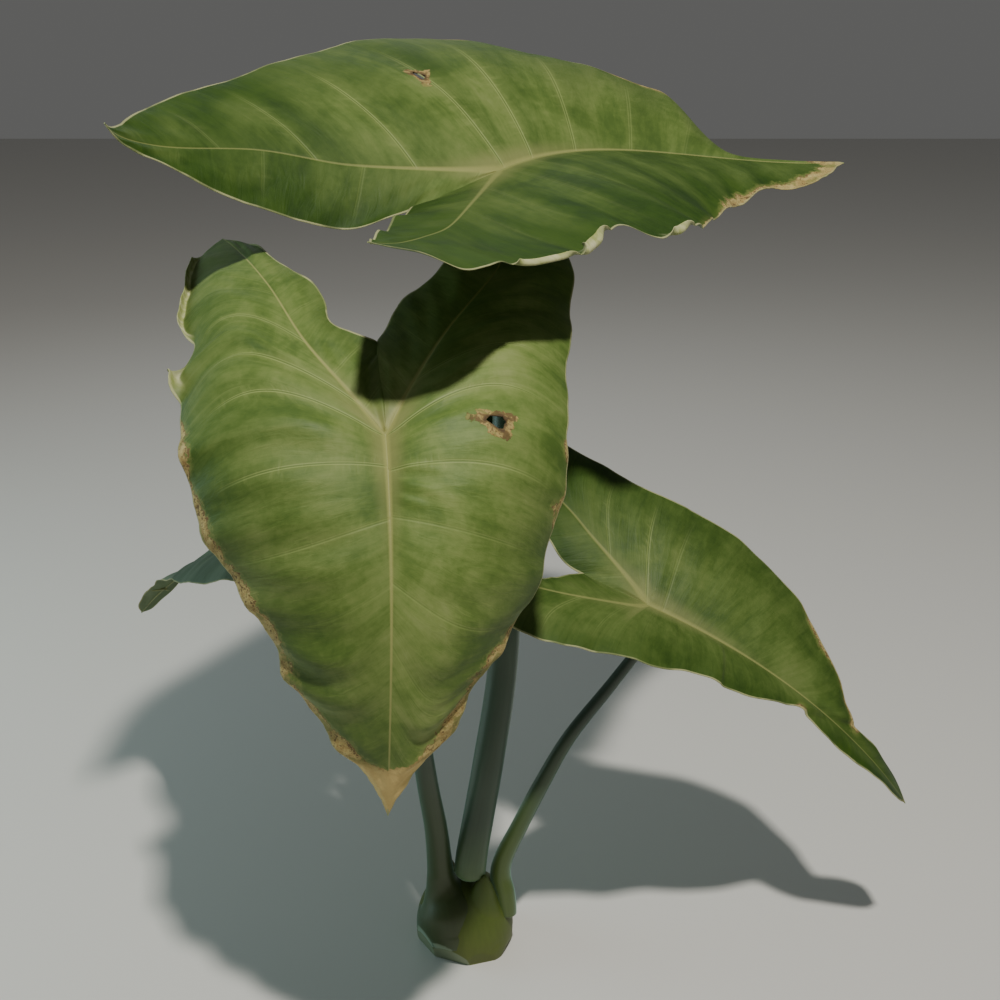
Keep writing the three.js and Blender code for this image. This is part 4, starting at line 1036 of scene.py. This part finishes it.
def eaten_out(hole, leaf, flat, upper, lower, triangles):
    """Eats a hole into a blade. The points at its brink slide onto its edge, and what lies inside goes.
    Returns the flat places, the triangles left and how far out of the hole each point lies."""
    at_u, at_v, half_u, half_v = hole
    away = (flat - (at_u, at_v)) / (half_u, half_v)
    turn = np.arctan2(away[:, 1], away[:, 0])
    wound = np.hypot(away[:, 0], away[:, 1]) / (1 + 0.22 * np.sin(3 * turn + 1) + 0.12 * np.sin(7 * turn))
    eaten = (wound < 1)[triangles].sum(1)
    mixed = triangles[(eaten > 0) & (eaten < 3)]
    brink = np.unique(mixed[wound[mixed] < 1])
    moved = flat.copy()
    moved[brink] = (at_u, at_v) + (flat[brink] - (at_u, at_v)) / wound[brink][:, None]
    slide = bend_blade(leaf, moved[brink]) - bend_blade(leaf, flat[brink])
    upper[brink] += slide
    lower[brink] += slide
    wound[brink] = 1
    return moved, triangles[eaten < 3], wound


def closed_skin(triangles, count):
    """Faces of the closed body between an upper sheet and a lower one of as many points, which follow it."""
    edges = np.vstack([triangles[:, [0, 1]], triangles[:, [1, 2]], triangles[:, [2, 0]]])
    forward = edges[:, 0].astype(np.int64) * count + edges[:, 1]
    backward = edges[:, 1].astype(np.int64) * count + edges[:, 0]
    rim = edges[~np.isin(forward, backward)]
    walls = np.vstack([np.column_stack([rim[:, 0], rim[:, 0] + count, rim[:, 1] + count]),
                       np.column_stack([rim[:, 0], rim[:, 1] + count, rim[:, 1]])])
    return np.vstack([triangles, triangles[:, ::-1] + count, walls])


def rib_line(sheet, normal, rows, share):
    """Centre line and thickness of the main rib below the innermost column of a sheet."""
    thick = sheet["rib"][rows, 0] * share
    axis = sheet["lower"][rows, 0] + normal[rows, 0] * (VEIN_ROOF - thick)[:, None]
    return np.column_stack([axis, thick])


for leaf_name, leaf in LEAVES.items():
    sheets, side_lines, main_lines = [], [], []
    for half_name, sign in (("left", -1.0), ("right", 1.0)):
        for number, sheet in enumerate(half_sheet(leaf, half_name)):
            flat = sheet["flat"].reshape(-1, 2)
            shape = sheet["t"].shape + (3,)
            normal = blade_normal(leaf, flat).reshape(shape)
            middle = bend_blade(leaf, flat).reshape(shape)
            middle = middle + normal * sheet_relief(leaf, sheet, half_name, number == 1)[..., None]
            if number == 0:
                for first, last, width, turn in leaf["curls"][half_name]:
                    curl_lip(middle, normal, sheet["row"], width, first, last, turn)
            half_thick = np.interp(sheet["edge_gap"], [0, 8], [0.3, 0.55])[..., None]
            sheet["upper"], sheet["lower"] = middle + normal * half_thick, middle - normal * half_thick
            sheet["flip"] = (sign < 0) == (number == 0)
            sheets.append(sheet)
            side_lines += rise_lines(sheet, sheet["lower"], normal)
            if number == 0 and half_name == "left":
                main_lines.append(rib_line(sheet, normal, sheet["row"] >= 0, 0.75))
            if number == 0:
                main_lines.append(rib_line(sheet, normal, sheet["row"] <= 0, 0.62)[::-1])
    first, triangles = fuse(sheets)
    count = len(first)
    known_of = {key: np.concatenate([s[key].reshape(-1, *s[key].shape[2:]) for s in sheets])[first]
                for key in ("flat", "upper", "lower", "vein_step", "axis_gap", "edge_gap", "rib", "dry",
                            "vein", "number", "vein_fade", "lip", "deep")}
    flat, upper, lower = (known_of.pop(key) for key in ("flat", "upper", "lower"))
    wound = np.full(count, 99.0)
    if leaf["hole"]:
        flat, triangles, wound = eaten_out(leaf["hole"], leaf, flat, upper, lower, triangles)
    faces = closed_skin(triangles, count)
    used = np.unique(faces)
    renumber = np.full(2 * count, -1)
    renumber[used] = np.arange(len(used))
    points = np.vstack([upper, lower])[used]
    blade = mesh_piece(f"blade_{leaf_name}_tissue", points, renumber[faces], leaf_green)
    for key in ("vein_step", "axis_gap", "edge_gap", "rib", "dry"):
        known_of[key] = known_of[key] * 0.001
    known_of["painted_blue_sheen"] = np.full(count, float(leaf["painted_blue_sheen"]))
    known_of["wound"] = wound
    facts = {key: np.tile(values, 2) for key, values in known_of.items()}
    facts["below"] = np.repeat([0.0, 1.0], count)
    for key, values in facts.items():
        note(blade.data, key, values[used])
    place = np.column_stack([np.tile(flat * 0.001, (2, 1)), np.full(2 * count, leaf["seed"] * 0.13)])[used]
    note(blade.data, "flat_place", place.ravel(), "FLOAT_VECTOR", "vector")
    smooth_shade(blade)
    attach(blade, "root")
    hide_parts(f"blade_{leaf_name}")

    veins = grow_stalks(f"blade_{leaf_name}_ribs", main_lines + side_lines, stalk_tree, VEIN_SIDES,
                        0.0, 0.0, rib_finish)
    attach(veins, "root")
    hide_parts(f"blade_{leaf_name}")
